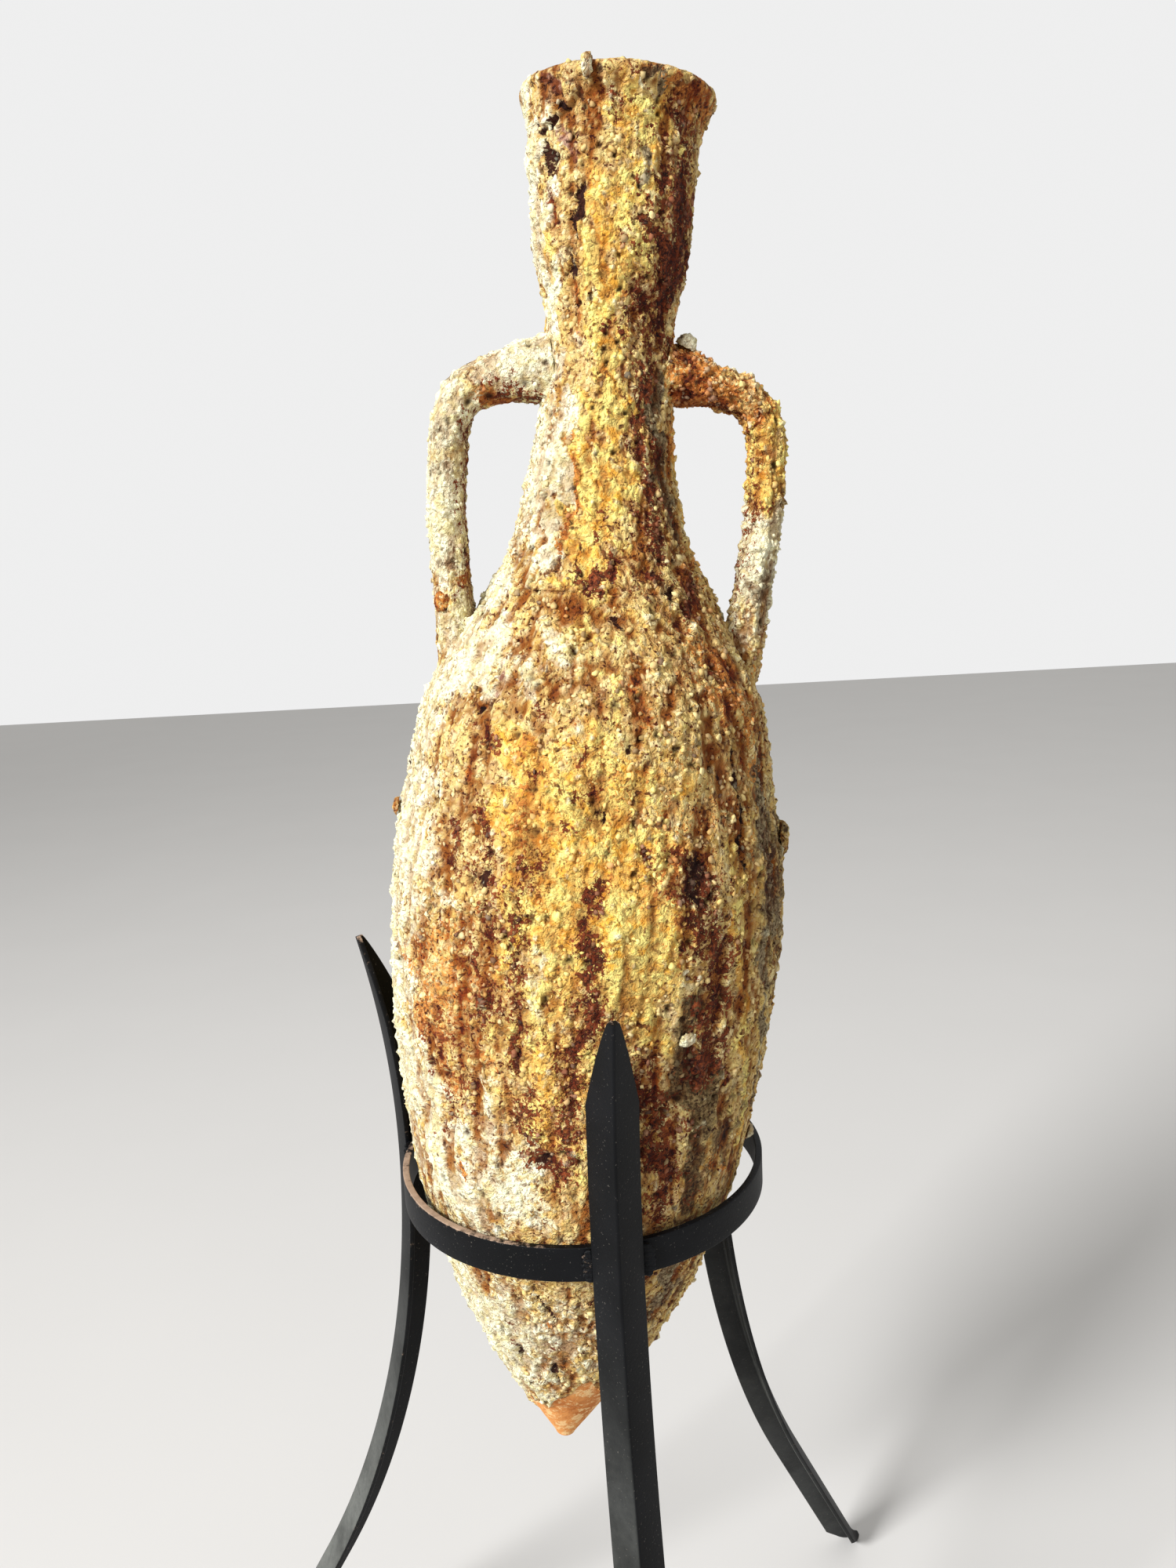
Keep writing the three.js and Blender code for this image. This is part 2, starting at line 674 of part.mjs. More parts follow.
// The line that a leg's corner follows, from the foot's end up to the prong's tip. Each station
// has the radius from the ring's axis, the height, the slope from upright and the distance walked.
function legLine(waistRadius, { twist, rise }) {
  const waist = RING_TOP - WAIST_BELOW_RING_TOP;
  const cornerAboveSole = POINT_FLANGE * Math.cos(CORNER_ANGLE - Math.abs(twist)) * Math.sin(FOOT_ANGLE);
  const footLevel = cornerAboveSole - SOLE_DEPTH;
  const bendDrop = LEG_BEND_RADIUS * Math.sin(LEG_SPLAY);
  const footDrop = FOOT_BEND_RADIUS * (Math.sin(FOOT_ANGLE) - Math.sin(LEG_SPLAY));
  const straight = (waist - bendDrop - footDrop - footLevel) / Math.cos(LEG_SPLAY);
  const prongAngle = Math.asin((rise + WAIST_BELOW_RING_TOP) / PRONG_BEND_RADIUS);
  const footLength = FOOT_BEND_RADIUS * (FOOT_ANGLE - LEG_SPLAY);
  const bendLength = LEG_BEND_RADIUS * LEG_SPLAY;
  const prongLength = PRONG_BEND_RADIUS * prongAngle;
  const length = footLength + straight + bendLength + prongLength;

  // Walked down from the waist, a positive distance; walked up the prong, a negative one
  function stationAt(walked) {
    const down = length - prongLength - walked;
    if (down <= 0) {
      const turn = -down / PRONG_BEND_RADIUS;
      const radius = waistRadius + PRONG_BEND_RADIUS * (1 - Math.cos(turn));
      return { radius, height: waist + PRONG_BEND_RADIUS * Math.sin(turn), slope: -turn };
    }
    const bend = Math.min(down, bendLength) / LEG_BEND_RADIUS;
    let radius = waistRadius + LEG_BEND_RADIUS * (1 - Math.cos(bend));
    let height = waist - LEG_BEND_RADIUS * Math.sin(bend);
    const run = Math.min(Math.max(down - bendLength, 0), straight);
    radius += run * Math.sin(LEG_SPLAY);
    height -= run * Math.cos(LEG_SPLAY);
    const slope = bend + Math.max(down - bendLength - straight, 0) / FOOT_BEND_RADIUS;
    radius += FOOT_BEND_RADIUS * (Math.cos(bend) - Math.cos(slope));
    height -= FOOT_BEND_RADIUS * (Math.sin(slope) - Math.sin(bend));
    return { radius, height, slope };
  }

  const stops = [0, FOOT_POINT_LENGTH, footLength + straight, length - prongLength];
  stops.push(length - PRONG_POINT_LENGTH, length);
  const counts = [FOOT_STEPS, STRAIGHT_STEPS, BEND_STEPS, PRONG_STEPS / 2, PRONG_STEPS / 2];
  const stations = [{ walked: 0, ...stationAt(0) }];
  counts.forEach((count, i) => {
    for (let step = 1; step <= count; step++) {
      const walked = stops[i] + ((stops[i + 1] - stops[i]) * step) / count;
      stations.push({ walked, ...stationAt(walked) });
    }
  });
  return stations.map((station) => ({ ...station, left: length - station.walked }));
}

// A flange narrows towards the foot's end and the prong's tip, like a spear's point.
function flangeWidth({ walked, left }) {
  const share = Math.min(1, walked / FOOT_POINT_LENGTH, left / PRONG_POINT_LENGTH);
  return POINT_FLANGE + (FLANGE_WIDTH - POINT_FLANGE) * Math.max(share, 0) ** POINT_CURVE_SHARE;
}

// The angle section as [along one flange, along the other], from the corner, grown by a gap
function angleSection(flange, gap) {
  const root = Math.min(ROOT_ROUND, (flange - FLANGE_THICKNESS) / 2);
  const end = flange + gap;
  const inner = FLANGE_THICKNESS + gap;
  const heelMiddle = HEEL_ROUND * (1 - Math.SQRT1_2) - gap;
  const rootMiddle = inner + root * (1 - Math.SQRT1_2);
  return [
    [heelMiddle, heelMiddle],
    [HEEL_ROUND, -gap],
    [end, -gap],
    [end, inner],
    [inner + root, inner],
    [rootMiddle, rootMiddle],
    [inner, inner + root],
    [inner, end],
    [-gap, end],
    [-gap, HEEL_ROUND],
  ].map(([a, b]) => new THREE.Vector2(a, b));
}

// The two flanges' directions from the corner, in the leg's own frame, which looks along -Y
function flangeDirections(slope, twist) {
  const outwards = new THREE.Vector3(0, -Math.cos(slope), Math.sin(slope));
  const sideways = new THREE.Vector3(1, 0, 0);
  const flangeAt = (angle, side) =>
    new THREE.Vector3()
      .addScaledVector(outwards, -Math.cos(angle))
      .addScaledVector(sideways, side * Math.sin(angle));
  return [flangeAt(CORNER_ANGLE + twist, 1), flangeAt(CORNER_ANGLE - twist, -1)];
}

function legGeometry(waistRadius, leg, gap) {
  const rings = legLine(waistRadius, leg).map((station) => {
    const [one, other] = flangeDirections(station.slope, leg.twist);
    const corner = new THREE.Vector3(0, -station.radius, station.height);
    return angleSection(flangeWidth(station), gap).map(({ x, y }) =>
      corner.clone().addScaledVector(one, x).addScaledVector(other, y),
    );
  });
  return loft(rings, angleSection(POINT_FLANGE, gap));
}

// The corner's radius at which the nearer flange's inner edge just clears the ring
function waistRadiusFor(twist) {
  const near = CORNER_ANGLE - Math.abs(twist);
  const far = CORNER_ANGLE + Math.abs(twist);
  const aside = FLANGE_WIDTH * Math.sin(near) - FLANGE_THICKNESS * Math.sin(far);
  const inwards = FLANGE_WIDTH * Math.cos(near) + FLANGE_THICKNESS * Math.cos(far);
  const edge = RING_OUTER_RADIUS + CONTACT_GAP;
  return Math.sqrt(edge * edge - aside * aside) + inwards;
}

// The foot's end is filed flat where it stands on the ground.
function filedFlat(solid, waistRadius, leg) {
  const { radius } = legLine(waistRadius, leg)[0];
  const block = new THREE.BoxGeometry(GROUND_BLOCK, GROUND_BLOCK, GROUND_BLOCK);
  return solid.subtract(toSolid(block.translate(0, -radius, -GROUND_BLOCK / 2)));
}

function ringGeometry(gap) {
  const [low, high] = [RING_TOP - RING_HEIGHT - gap, RING_TOP + gap];
  const [near, far] = [RING_INNER_RADIUS - gap, RING_OUTER_RADIUS + gap];
  const edge = RING_EDGE_BREAK;
  const profile = [
    [near + edge, low],
    [far - edge, low],
    [far, low + edge],
    [far, high - edge],
    [far - edge, high],
    [near + edge, high],
    [near, high - edge],
    [near, low + edge],
  ];
  return turned([...profile, profile[0]], RING_FACES);
}

// A bead along one flange edge: it fills the corner between the flange's outside and the ring,
// and reaches under an edge that stands off the ring.
function beadGeometry(waistRadius, twist, side) {
  const [one, other] = flangeDirections(0, twist);
  const corner = new THREE.Vector3(0, -waistRadius, 0);
  const edge = corner.addScaledVector(side > 0 ? one : other, FLANGE_WIDTH);
  const standOff = Math.hypot(edge.x, edge.y) - RING_OUTER_RADIUS;
  const radius = RING_OUTER_RADIUS + standOff / 2 + BEAD_STANDOUT;
  const turn = Math.atan2(edge.x, -edge.y) + (side * BEAD_STANDOUT) / RING_OUTER_RADIUS;
  const height = RING_HEIGHT - 2 * BEAD_END_MARGIN;
  const foot = RING_TOP - RING_HEIGHT + BEAD_END_MARGIN;
  const section = new THREE.Path().absarc(0, 0, 1, 0, FULL_TURN).getPoints(BEAD_SIDES).slice(0, BEAD_SIDES);
  const rings = [];
  for (let i = 0; i <= BEAD_STEPS; i++) {
    const at = i / BEAD_STEPS;
    const ripple = 1 + BEAD_RIPPLE_SHARE * Math.cos(at * BEAD_RIPPLES * FULL_TURN);
    const taper = Math.max(Math.sqrt(1 - (2 * at - 1) ** 4), BEAD_END_SHARE);
    const size = (BEAD_RADIUS + standOff / 2) * ripple * taper;
    const [x, y] = [radius * Math.sin(turn), -radius * Math.cos(turn)];
    rings.push(section.map((p) => new THREE.Vector3(x + p.x * size, y + p.y * size, foot + at * height)));
  }
  return loft(rings, section);
}

// Assembly

const ringBlank = toSolid(ringGeometry(CONTACT_GAP));
const stand = new THREE.Group();
stand.add(piece("ring", ringGeometry(0), BLACK_STEEL));
for (const leg of LEGS) {
  const waistRadius = waistRadiusFor(leg.twist);
  const solid = filedFlat(toSolid(legGeometry(waistRadius, leg, 0)), waistRadius, leg);
  const legBlank = toSolid(legGeometry(waistRadius, leg, CONTACT_GAP));
  const place = new THREE.Group();
  place.rotation.z = leg.azimuth;
  place.add(piece("leg_" + leg.name, toGeometry(solid), BLACK_STEEL));
  leg.beads.forEach((end, i) => {
    const side = 2 * i - 1;
    const bead = toSolid(beadGeometry(waistRadius, leg.twist, side)).subtract(ringBlank).subtract(legBlank);
    place.add(piece("weld_" + leg.name + "_" + end, toGeometry(largestBody(bead)), BLACK_STEEL));
  });
  stand.add(place);
}

const bodyBlank = jarBlank(bodyOutline(), JAR_FACES, CONTACT_GAP);
const blank = bodyBlank.add(jarBlank(neckOutline(), NECK_FACES, CONTACT_GAP));
const handleBlanks = HANDLES.map((handle) => toSolid(handleGeometry(handle, CONTACT_GAP)));
const jar = new THREE.Group();
jar.quaternion.copy(LEAN);
jar.position.copy(JAR_PLACE);
jar.add(piece("body", bodyGeometry(), FIRED_CLAY));
jar.add(piece("neck_and_mouth", neckGeometry(), FIRED_CLAY));
jar.add(piece("toe", toeGeometry(), BARE_CLAY));
for (const handle of HANDLES) {
  const solid = toSolid(handleGeometry(handle, 0)).subtract(blank);
  jar.add(piece(handle.name, toGeometry(largestBody(solid)), FIRED_CLAY));
}
for (const growth of GROWTHS) {
  const solid = toSolid(growthOnSkin(growth)).subtract(blank);
  jar.add(piece(growth.name, toGeometry(largestBody(solid)), PALE_SHELL));
}
for (const growth of HANDLE_GROWTHS) {
  const solid = toSolid(growthOnHandle(growth)).subtract(blank).subtract(handleBlanks[growth.handle]);
  jar.add(piece(growth.name, toGeometry(largestBody(solid)), PALE_SHELL));
}

// The feet set the footprint, and its middle is the origin.
const assembly = new THREE.Group();
assembly.add(stand, jar);
const footprint = new THREE.Box3().setFromObject(assembly).getCenter(new THREE.Vector3());
assembly.position.set(-footprint.x, -footprint.y, 0);

export default assembly;
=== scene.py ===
import math

import bmesh
import bpy
import numpy as np
from mathutils import Matrix, Vector


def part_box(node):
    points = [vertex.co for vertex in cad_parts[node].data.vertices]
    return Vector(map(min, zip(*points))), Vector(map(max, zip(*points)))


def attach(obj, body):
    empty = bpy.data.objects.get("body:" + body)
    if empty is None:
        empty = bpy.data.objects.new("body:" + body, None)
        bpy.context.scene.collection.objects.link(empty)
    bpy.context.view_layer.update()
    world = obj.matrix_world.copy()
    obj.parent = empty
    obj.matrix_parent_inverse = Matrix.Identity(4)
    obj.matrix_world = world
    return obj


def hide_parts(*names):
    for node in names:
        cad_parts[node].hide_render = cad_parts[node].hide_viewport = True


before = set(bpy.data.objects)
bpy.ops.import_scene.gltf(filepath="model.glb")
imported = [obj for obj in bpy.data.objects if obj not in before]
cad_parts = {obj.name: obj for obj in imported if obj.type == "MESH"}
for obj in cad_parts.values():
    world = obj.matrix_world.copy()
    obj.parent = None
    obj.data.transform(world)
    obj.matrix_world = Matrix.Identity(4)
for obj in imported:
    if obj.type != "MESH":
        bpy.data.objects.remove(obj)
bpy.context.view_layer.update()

# A crusted jar with a pointed toe, in a black three-legged stand of angle steel.
# Shapes are worked out in millimetres and made into meshes in metres.
MM = 0.001

# The camera, the floor and the light

CAMERA_PLACE = (0.0427, -0.8015, 1.0674)
CAMERA_YAW = math.radians(0.983)
CAMERA_DOWN = math.radians(10.594)
CAMERA_ROLL = math.radians(-2.951)
CAMERA_LENS = 26.93
CAMERA_NEAREST = 0.02
SENSOR = 36

FLOOR_REACH = 9
FLOOR_THICKNESS = 0.02
FLOOR_COLOUR = (0.68, 0.67, 0.655)
BACKGROUND_COLOUR = (0.86, 0.86, 0.86)
FILL_COLOUR = (1.0, 0.99, 0.97)
FILL_LEVEL = 0.55
KEY_PLACE = (-4.28, -3.95, 4.41)
KEY_TARGET = (0.04, 0.05, 0.75)
KEY_SIZE = 1.8
KEY_POWER = 131
KEY_SPREAD = math.radians(80)


def new_object(name, data):
    made = bpy.data.objects.new(name, data)
    bpy.context.scene.collection.objects.link(made)
    return made


def place_camera():
    data = bpy.data.cameras.new("photo_view")
    data.sensor_width, data.lens, data.clip_start = SENSOR, CAMERA_LENS, CAMERA_NEAREST
    camera = new_object("photo_view", data)
    sin_yaw, cos_yaw = math.sin(CAMERA_YAW), math.cos(CAMERA_YAW)
    sin_down, cos_down = math.sin(CAMERA_DOWN), math.cos(CAMERA_DOWN)
    forward = Vector((sin_yaw * cos_down, cos_yaw * cos_down, -sin_down))
    level = Vector((cos_yaw, -sin_yaw, 0))
    upright = level.cross(forward)
    right = level * math.cos(CAMERA_ROLL) + upright * math.sin(CAMERA_ROLL)
    up = upright * math.cos(CAMERA_ROLL) - level * math.sin(CAMERA_ROLL)
    turn = Matrix((right, up, -forward)).transposed().to_4x4()
    camera.matrix_world = Matrix.Translation(CAMERA_PLACE) @ turn
    bpy.context.scene.camera = camera


def light_the_studio():
    data = bpy.data.lights.new("key", "AREA")
    data.shape, data.size, data.energy, data.spread = "SQUARE", KEY_SIZE, KEY_POWER, KEY_SPREAD
    key = new_object("key", data)
    aim = (Vector(KEY_TARGET) - Vector(KEY_PLACE)).to_track_quat("-Z", "Y")
    key.matrix_world = Matrix.Translation(KEY_PLACE) @ aim.to_matrix().to_4x4()

    world = bpy.data.worlds.new("studio")
    bpy.context.scene.world = world
    world.use_nodes = True
    tree = world.node_tree
    tree.nodes.clear()
    rays = tree.nodes.new("ShaderNodeLightPath").outputs
    seen = [Value(tree, rays[kind]) for kind in ("Is Camera Ray", "Is Glossy Ray", "Is Transmission Ray")]
    fill = result(tree, "ShaderNodeBackground", 0, {"Color": (*FILL_COLOUR, 1), "Strength": FILL_LEVEL})
    backdrop = result(tree, "ShaderNodeBackground", 0, {"Color": (*BACKGROUND_COLOUR, 1), "Strength": 1.0})
    either = result(tree, "ShaderNodeMixShader", 0, {0: largest(*seen), 1: fill, 2: backdrop})
    add(tree, "ShaderNodeOutputWorld", {"Surface": either})


def lay_floor():
    reach, low = FLOOR_REACH, -FLOOR_THICKNESS
    points = [(x, y, z) for z in (low, 0) for x in (-reach, reach) for y in (-reach, reach)]
    faces = [(0, 1, 3, 2), (4, 6, 7, 5), (0, 2, 6, 4), (1, 5, 7, 3), (0, 4, 5, 1), (2, 3, 7, 6)]
    mesh = bpy.data.meshes.new("floor")
    mesh.from_pydata(points, [], faces)
    mesh.materials.append(floor_material())
    new_object("floor", mesh)


# Short ways to make nodes


class Value:
    """What a node gives out. Adding, taking away, multiplying or dividing it makes further nodes."""

    def __init__(self, tree, socket):
        self.tree, self.socket = tree, socket

    def __add__(self, other):
        return calc(self.tree, "ADD", self, other)

    def __sub__(self, other):
        return calc(self.tree, "SUBTRACT", self, other)

    def __rsub__(self, other):
        return calc(self.tree, "SUBTRACT", other, self)

    def __mul__(self, other):
        return calc(self.tree, "MULTIPLY", self, other)

    def __truediv__(self, other):
        return calc(self.tree, "DIVIDE", self, other)

    def __rtruediv__(self, other):
        return calc(self.tree, "DIVIDE", other, self)

    def step(self, low, high, to_low=0.0, to_high=1.0):
        """A soft step: to_low up to low, to_high from high on."""
        inputs = {"Value": self, "From Min": low, "From Max": high, "To Min": to_low, "To Max": to_high}
        return result(self.tree, "ShaderNodeMapRange", "Result", inputs, interpolation_type="SMOOTHSTEP")


def add(tree, kind, inputs, **settings):
    """A new node, with its settings, and its inputs given as numbers or as what other nodes give out."""
    node = tree.nodes.new(kind)
    for name, value in settings.items():
        setattr(node, name, value)
    for name, value in inputs.items():
        value = getattr(value, "socket", value)
        if isinstance(value, bpy.types.NodeSocket):
            tree.links.new(value, node.inputs[name])
        else:
            node.inputs[name].default_value = value
    return node


def result(tree, kind, output, inputs, **settings):
    return Value(tree, add(tree, kind, inputs, **settings).outputs[output])


def calc(tree, operation, a, b, clamp=False):
    return result(tree, "ShaderNodeMath", 0, {0: a, 1: b}, operation=operation, use_clamp=clamp)


def largest(value, *others):
    for other in others:
        value = calc(value.tree, "MAXIMUM", value, other)
    return value


def vector_calc(tree, operation, a, b):
    return result(tree, "ShaderNodeVectorMath", "Vector", {0: a, 1: b}, operation=operation)


def scaled(tree, vector, scale):
    return result(tree, "ShaderNodeVectorMath", 0, {0: vector, "Scale": scale}, operation="SCALE")


def warped(tree, place, fineness, reach):
    """Places shifted by soft noise, so that what is drawn on them loses its straight sides."""
    shift = result(tree, "ShaderNodeTexNoise", "Color", {"Vector": place, "Scale": fineness, "Detail": 2.0})
    return vector_calc(tree, "ADD", place, vector_calc(tree, "MULTIPLY", shift, (reach, reach, reach)))


def noise(tree, vector, size, detail=2.0, roughness=0.5, warp=0.0):
    """Soft noise from 0 to 1 whose blots are about size metres across."""
    inputs = {
        "Vector": vector, "Scale": 1 / size, "Detail": detail, "Roughness": roughness, "Distortion": warp,
    }
    return result(tree, "ShaderNodeTexNoise", 0, inputs)


def cells(tree, vector, size, channel=0, smoothness=None):
    """Cells about size metres across: how far a point is from its cell's middle, and the cell's chance."""
    inputs, feature = {"Vector": vector, "Scale": 1 / size}, "F1"
    if smoothness is not None:
        inputs["Smoothness"], feature = smoothness, "SMOOTH_F1"
    cell = add(tree, "ShaderNodeTexVoronoi", inputs, feature=feature).outputs
    return Value(tree, cell["Distance"]), separated(tree, cell["Color"], channel)


def separated(tree, vector, channel):
    return result(tree, "ShaderNodeSeparateXYZ", channel, {0: vector})


def mixed(tree, factor, a, b, blend="MIX"):
    """The tone a with the tone b over it, as far as factor says."""
    return result(tree, "ShaderNodeMix", 2, {0: factor, 6: a, 7: b}, data_type="RGBA", blend_type=blend)


def ramp(tree, value, stops):
    """A colour for each value, from (value, colour) stops."""
    node = add(tree, "ShaderNodeValToRGB", {"Fac": value})
    elements = node.color_ramp.elements
    while len(elements) < len(stops):
        elements.new(0.5)
    for element, (at, tone) in zip(elements, stops):
        element.position = at
        element.color = tone
    return Value(tree, node.outputs["Color"])


def colour(red, green, blue):
    """A colour as the photograph's 0 to 255 values, made linear."""
    values = np.array([red, green, blue]) / 255
    linear = np.where(values <= 0.04045, values / 12.92, ((values + 0.055) / 1.055) ** 2.4)
    return (*linear.tolist(), 1.0)


# Short ways to make meshes


def smooth_line(points, count):
    """count + 1 points along a smooth curve that passes through the given ones."""
    points = np.asarray(points, float)
    ends = 2 * points[[0, -1]] - points[[1, -2]]
    padded = np.vstack([ends[:1], points, ends[1:]])
    steps = np.sqrt(np.linalg.norm(np.diff(padded, axis=0), axis=1))
    at = np.linspace(0, len(points) - 1, count + 1)
    which = np.minimum(at.astype(int), len(points) - 2)
    share = (at - which)[:, None]
    a, b, c, d = (padded[which + i] for i in range(4))
    before, here, after = (steps[which + i][:, None] for i in range(3))
    leave = ((b - a) / before - (c - a) / (before + here) + (c - b) / here) * here
    reach = ((c - b) / here - (d - b) / (here + after) + (d - c) / after) * here
    cubic = 2 * b - 2 * c + leave + reach
    square = -3 * b + 3 * c - 2 * leave - reach
    return b + share * (leave + share * (square + share * cubic))


def evenly_spaced(points, count):
    """The same line, walked in count equal steps."""
    walked = np.concatenate([[0], np.cumsum(np.linalg.norm(np.diff(points, axis=0), axis=1))])
    at = np.linspace(0, walked[-1], count + 1)
    return np.stack([np.interp(at, walked, points[:, k]) for k in range(points.shape[1])], axis=1)


def between(table, at):
    table = np.asarray(table, float)
    return np.interp(at, table[:, 0], table[:, 1])


def tube_faces(rows, columns, ends):
    """Quads between rows of points, each row a closed loop. "flat" ends are closed by a face each, "pointed"
    ones by a point in their middle, which comes after all others, and "joined" ones by each other."""
    i, j = np.meshgrid(np.arange(rows - 1), np.arange(columns), indexing="ij")
    a, b = i * columns + j, i * columns + (j + 1) % columns
    faces = np.stack([a, b, b + columns, a + columns], axis=-1).reshape(-1, 4).tolist()
    last, middle = (rows - 1) * columns, rows * columns
    around = [(j, (j + 1) % columns) for j in range(columns)]
    if ends == "flat":
        return faces + [list(range(columns))[::-1], [last + j for j in range(columns)]]
    if ends == "pointed":
        faces += [[b, a, middle] for a, b in around]
        return faces + [[last + a, last + b, middle + 1] for a, b in around]
    return faces + [[last + a, last + b, b, a] for a, b in around]


def store(mesh, attributes):
    """Keeps numbers or vectors on a mesh's points under their names."""
    for key, values in attributes.items():
        values = np.asarray(values, np.float32)
        kind, field = ("FLOAT_VECTOR", "vector") if values.ndim == 2 else ("FLOAT", "value")
        if key in mesh.attributes:
            mesh.attributes.remove(mesh.attributes[key])
        mesh.attributes.new(key, kind, "POINT").data.foreach_set(field, values.ravel())


def new_piece(name, points, faces, attributes):
    """A mesh object at the origin from points in millimetres."""
    mesh = bpy.data.meshes.new(name)
    mesh.from_pydata((points * MM).tolist(), [], faces)
    store(mesh, attributes)
    mesh.polygons.foreach_set("use_smooth", [True] * len(mesh.polygons))
    mesh.update()
    return new_object(name, mesh)


def read_points(mesh, key="co"):
    """A mesh's points, in millimetres, or their normals."""
    values = np.zeros(3 * len(mesh.vertices), np.float32)
    mesh.vertices.foreach_get(key, values)
    return values.reshape(-1, 3).astype(float) / (MM if key == "co" else 1)


def move_points(mesh, points):
    mesh.vertices.foreach_set("co", (points * MM).astype(np.float32).ravel())
    mesh.update()


def made_plain(piece):
    """The piece with what its modifiers make of it as its own mesh."""
    evaluated = bpy.context.evaluated_depsgraph_get()
    source = piece.evaluated_get(evaluated)
    mesh = bpy.data.meshes.new_from_object(source, preserve_all_data_layers=True, depsgraph=evaluated)
    piece.modifiers.clear()
    piece.data = mesh
    return piece


def through_tree(piece, tree, **sizes):
    """Runs a Geometry Nodes tree on the piece and keeps its result as a plain mesh."""
    modifier = piece.modifiers.new(tree.name, "NODES")
    modifier.node_group = tree
    for item in tree.interface.items_tree:
        key = item.name.lower().replace(" ", "_")
        if item.in_out == "INPUT" and key in sizes:
            modifier[item.identifier] = sizes[key]
    return made_plain(piece)


def finished(piece, body, node):
    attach(piece, body)
    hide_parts(node)
    return piece


# The jar's shape

RING_TOP = 618.0
RING_HEIGHT = 25.0
RING_WALL = 5.0
SEAT_CLEARANCE = 0.3
SEAT_FADE = (1, 6)
FREE_OF_RING = 30
ring_low, ring_high = (np.array(corner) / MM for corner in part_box("ring"))
RING_MIDDLE = ((ring_low + ring_high) / 2)[:2]
RING_OUTER = (ring_high - ring_low)[0] / 2
RING_INNER = RING_OUTER - RING_WALL

JAR_FOOT = np.array([RING_MIDDLE[0] - 4.4, RING_MIDDLE[1], RING_TOP])
LEAN_AXIS = Vector((math.tan(math.radians(5.03)), -math.tan(math.radians(1.5)), 1)).normalized()
LEAN = np.array(Vector((0, 0, 1)).rotation_difference(LEAN_AXIS).to_matrix())

TOE_TIP = -262.0
TOE_TOP = -205.0
NECK_FOOT = 435.0
MOUTH = 752.0
SEAT_SWELL = 9.175
SEAT_SWELL_REACH = 62.0

# Outlines as (height along the jar's axis from the ring's top, radius)
BODY_OUTLINE = [
    (-205, 41.0), (-178.8, 56.9), (-128.8, 81.9), (-78.9, 102.0), (-27.7, 117.5), (22.2, 129.2),
    (72.1, 136.4), (122, 141.6), (173.2, 143.9), (214.8, 144.5), (255.2, 142.0), (299, 133.5),
    (355, 121.7), (399.8, 98.3), (422.8, 84.0), (435, 77.5),
]
BODY_HOLLOW = [
    (-157, 0), (-149.9, 25.5), (-121.5, 51), (-68.2, 76.5), (-9, 98.2), (62, 114.8), (139, 124.3),
    (210, 127.5), (275.2, 121.1), (346.2, 103.3), (393.6, 84.2), (420.2, 67.6), (435, 62),
]
NECK_OUTLINE = [
    (435, 77.5), (450, 68.5), (478, 59.0), (505, 52.0), (540, 46.2), (575, 43.6), (610, 43),
    (622, 44.5), (636.4, 49), (655.4, 53.2), (691, 54.8), (722.2, 55.6), (735.5, 58.5),
    (743.2, 63.4), (748.7, 65.5), (752, 63),
]
NECK_BORE = [
    (752, 45), (747.7, 43.1), (730.7, 41), (681, 39.6), (649.8, 37), (627, 30), (610, 29),
    (531, 31), (487.5, 37.9), (456, 48.8), (435, 62),
]
LIP_OUTLINE = [(752, 63), (754.2, 57), (754, 51), (752, 45)]
TOE_OUTLINE = [(-262, 0), (-261, 5.5), (-258, 9.5), (-255, 11), (-236.4, 22.4), (-219.3, 32.6), (-205, 41)]

BODY_COLUMNS, BODY_ROWS, HOLLOW_ROWS = 392, 236, 12
NECK_COLUMNS, NECK_ROWS, LIP_ROWS, BORE_ROWS = 330, 240, 10, 40
TOE_COLUMNS, TOE_ROWS = 170, 64
FRONT_FINENESS = 0.4
TURN_STEPS = 3600
# How finely each outline is walked before it is cut into rows, and how often the neck's ones are softened
BODY_STEPS, HOLLOW_STEPS, NECK_STEPS, BORE_STEPS, TOE_STEPS = 400, 60, 600, 400, 200
NECK_SOFTENINGS, BORE_SOFTENINGS = 10, 8
INSIDE_FADE_ROWS = 14
NECK_PIT_SIZE = 0.0088

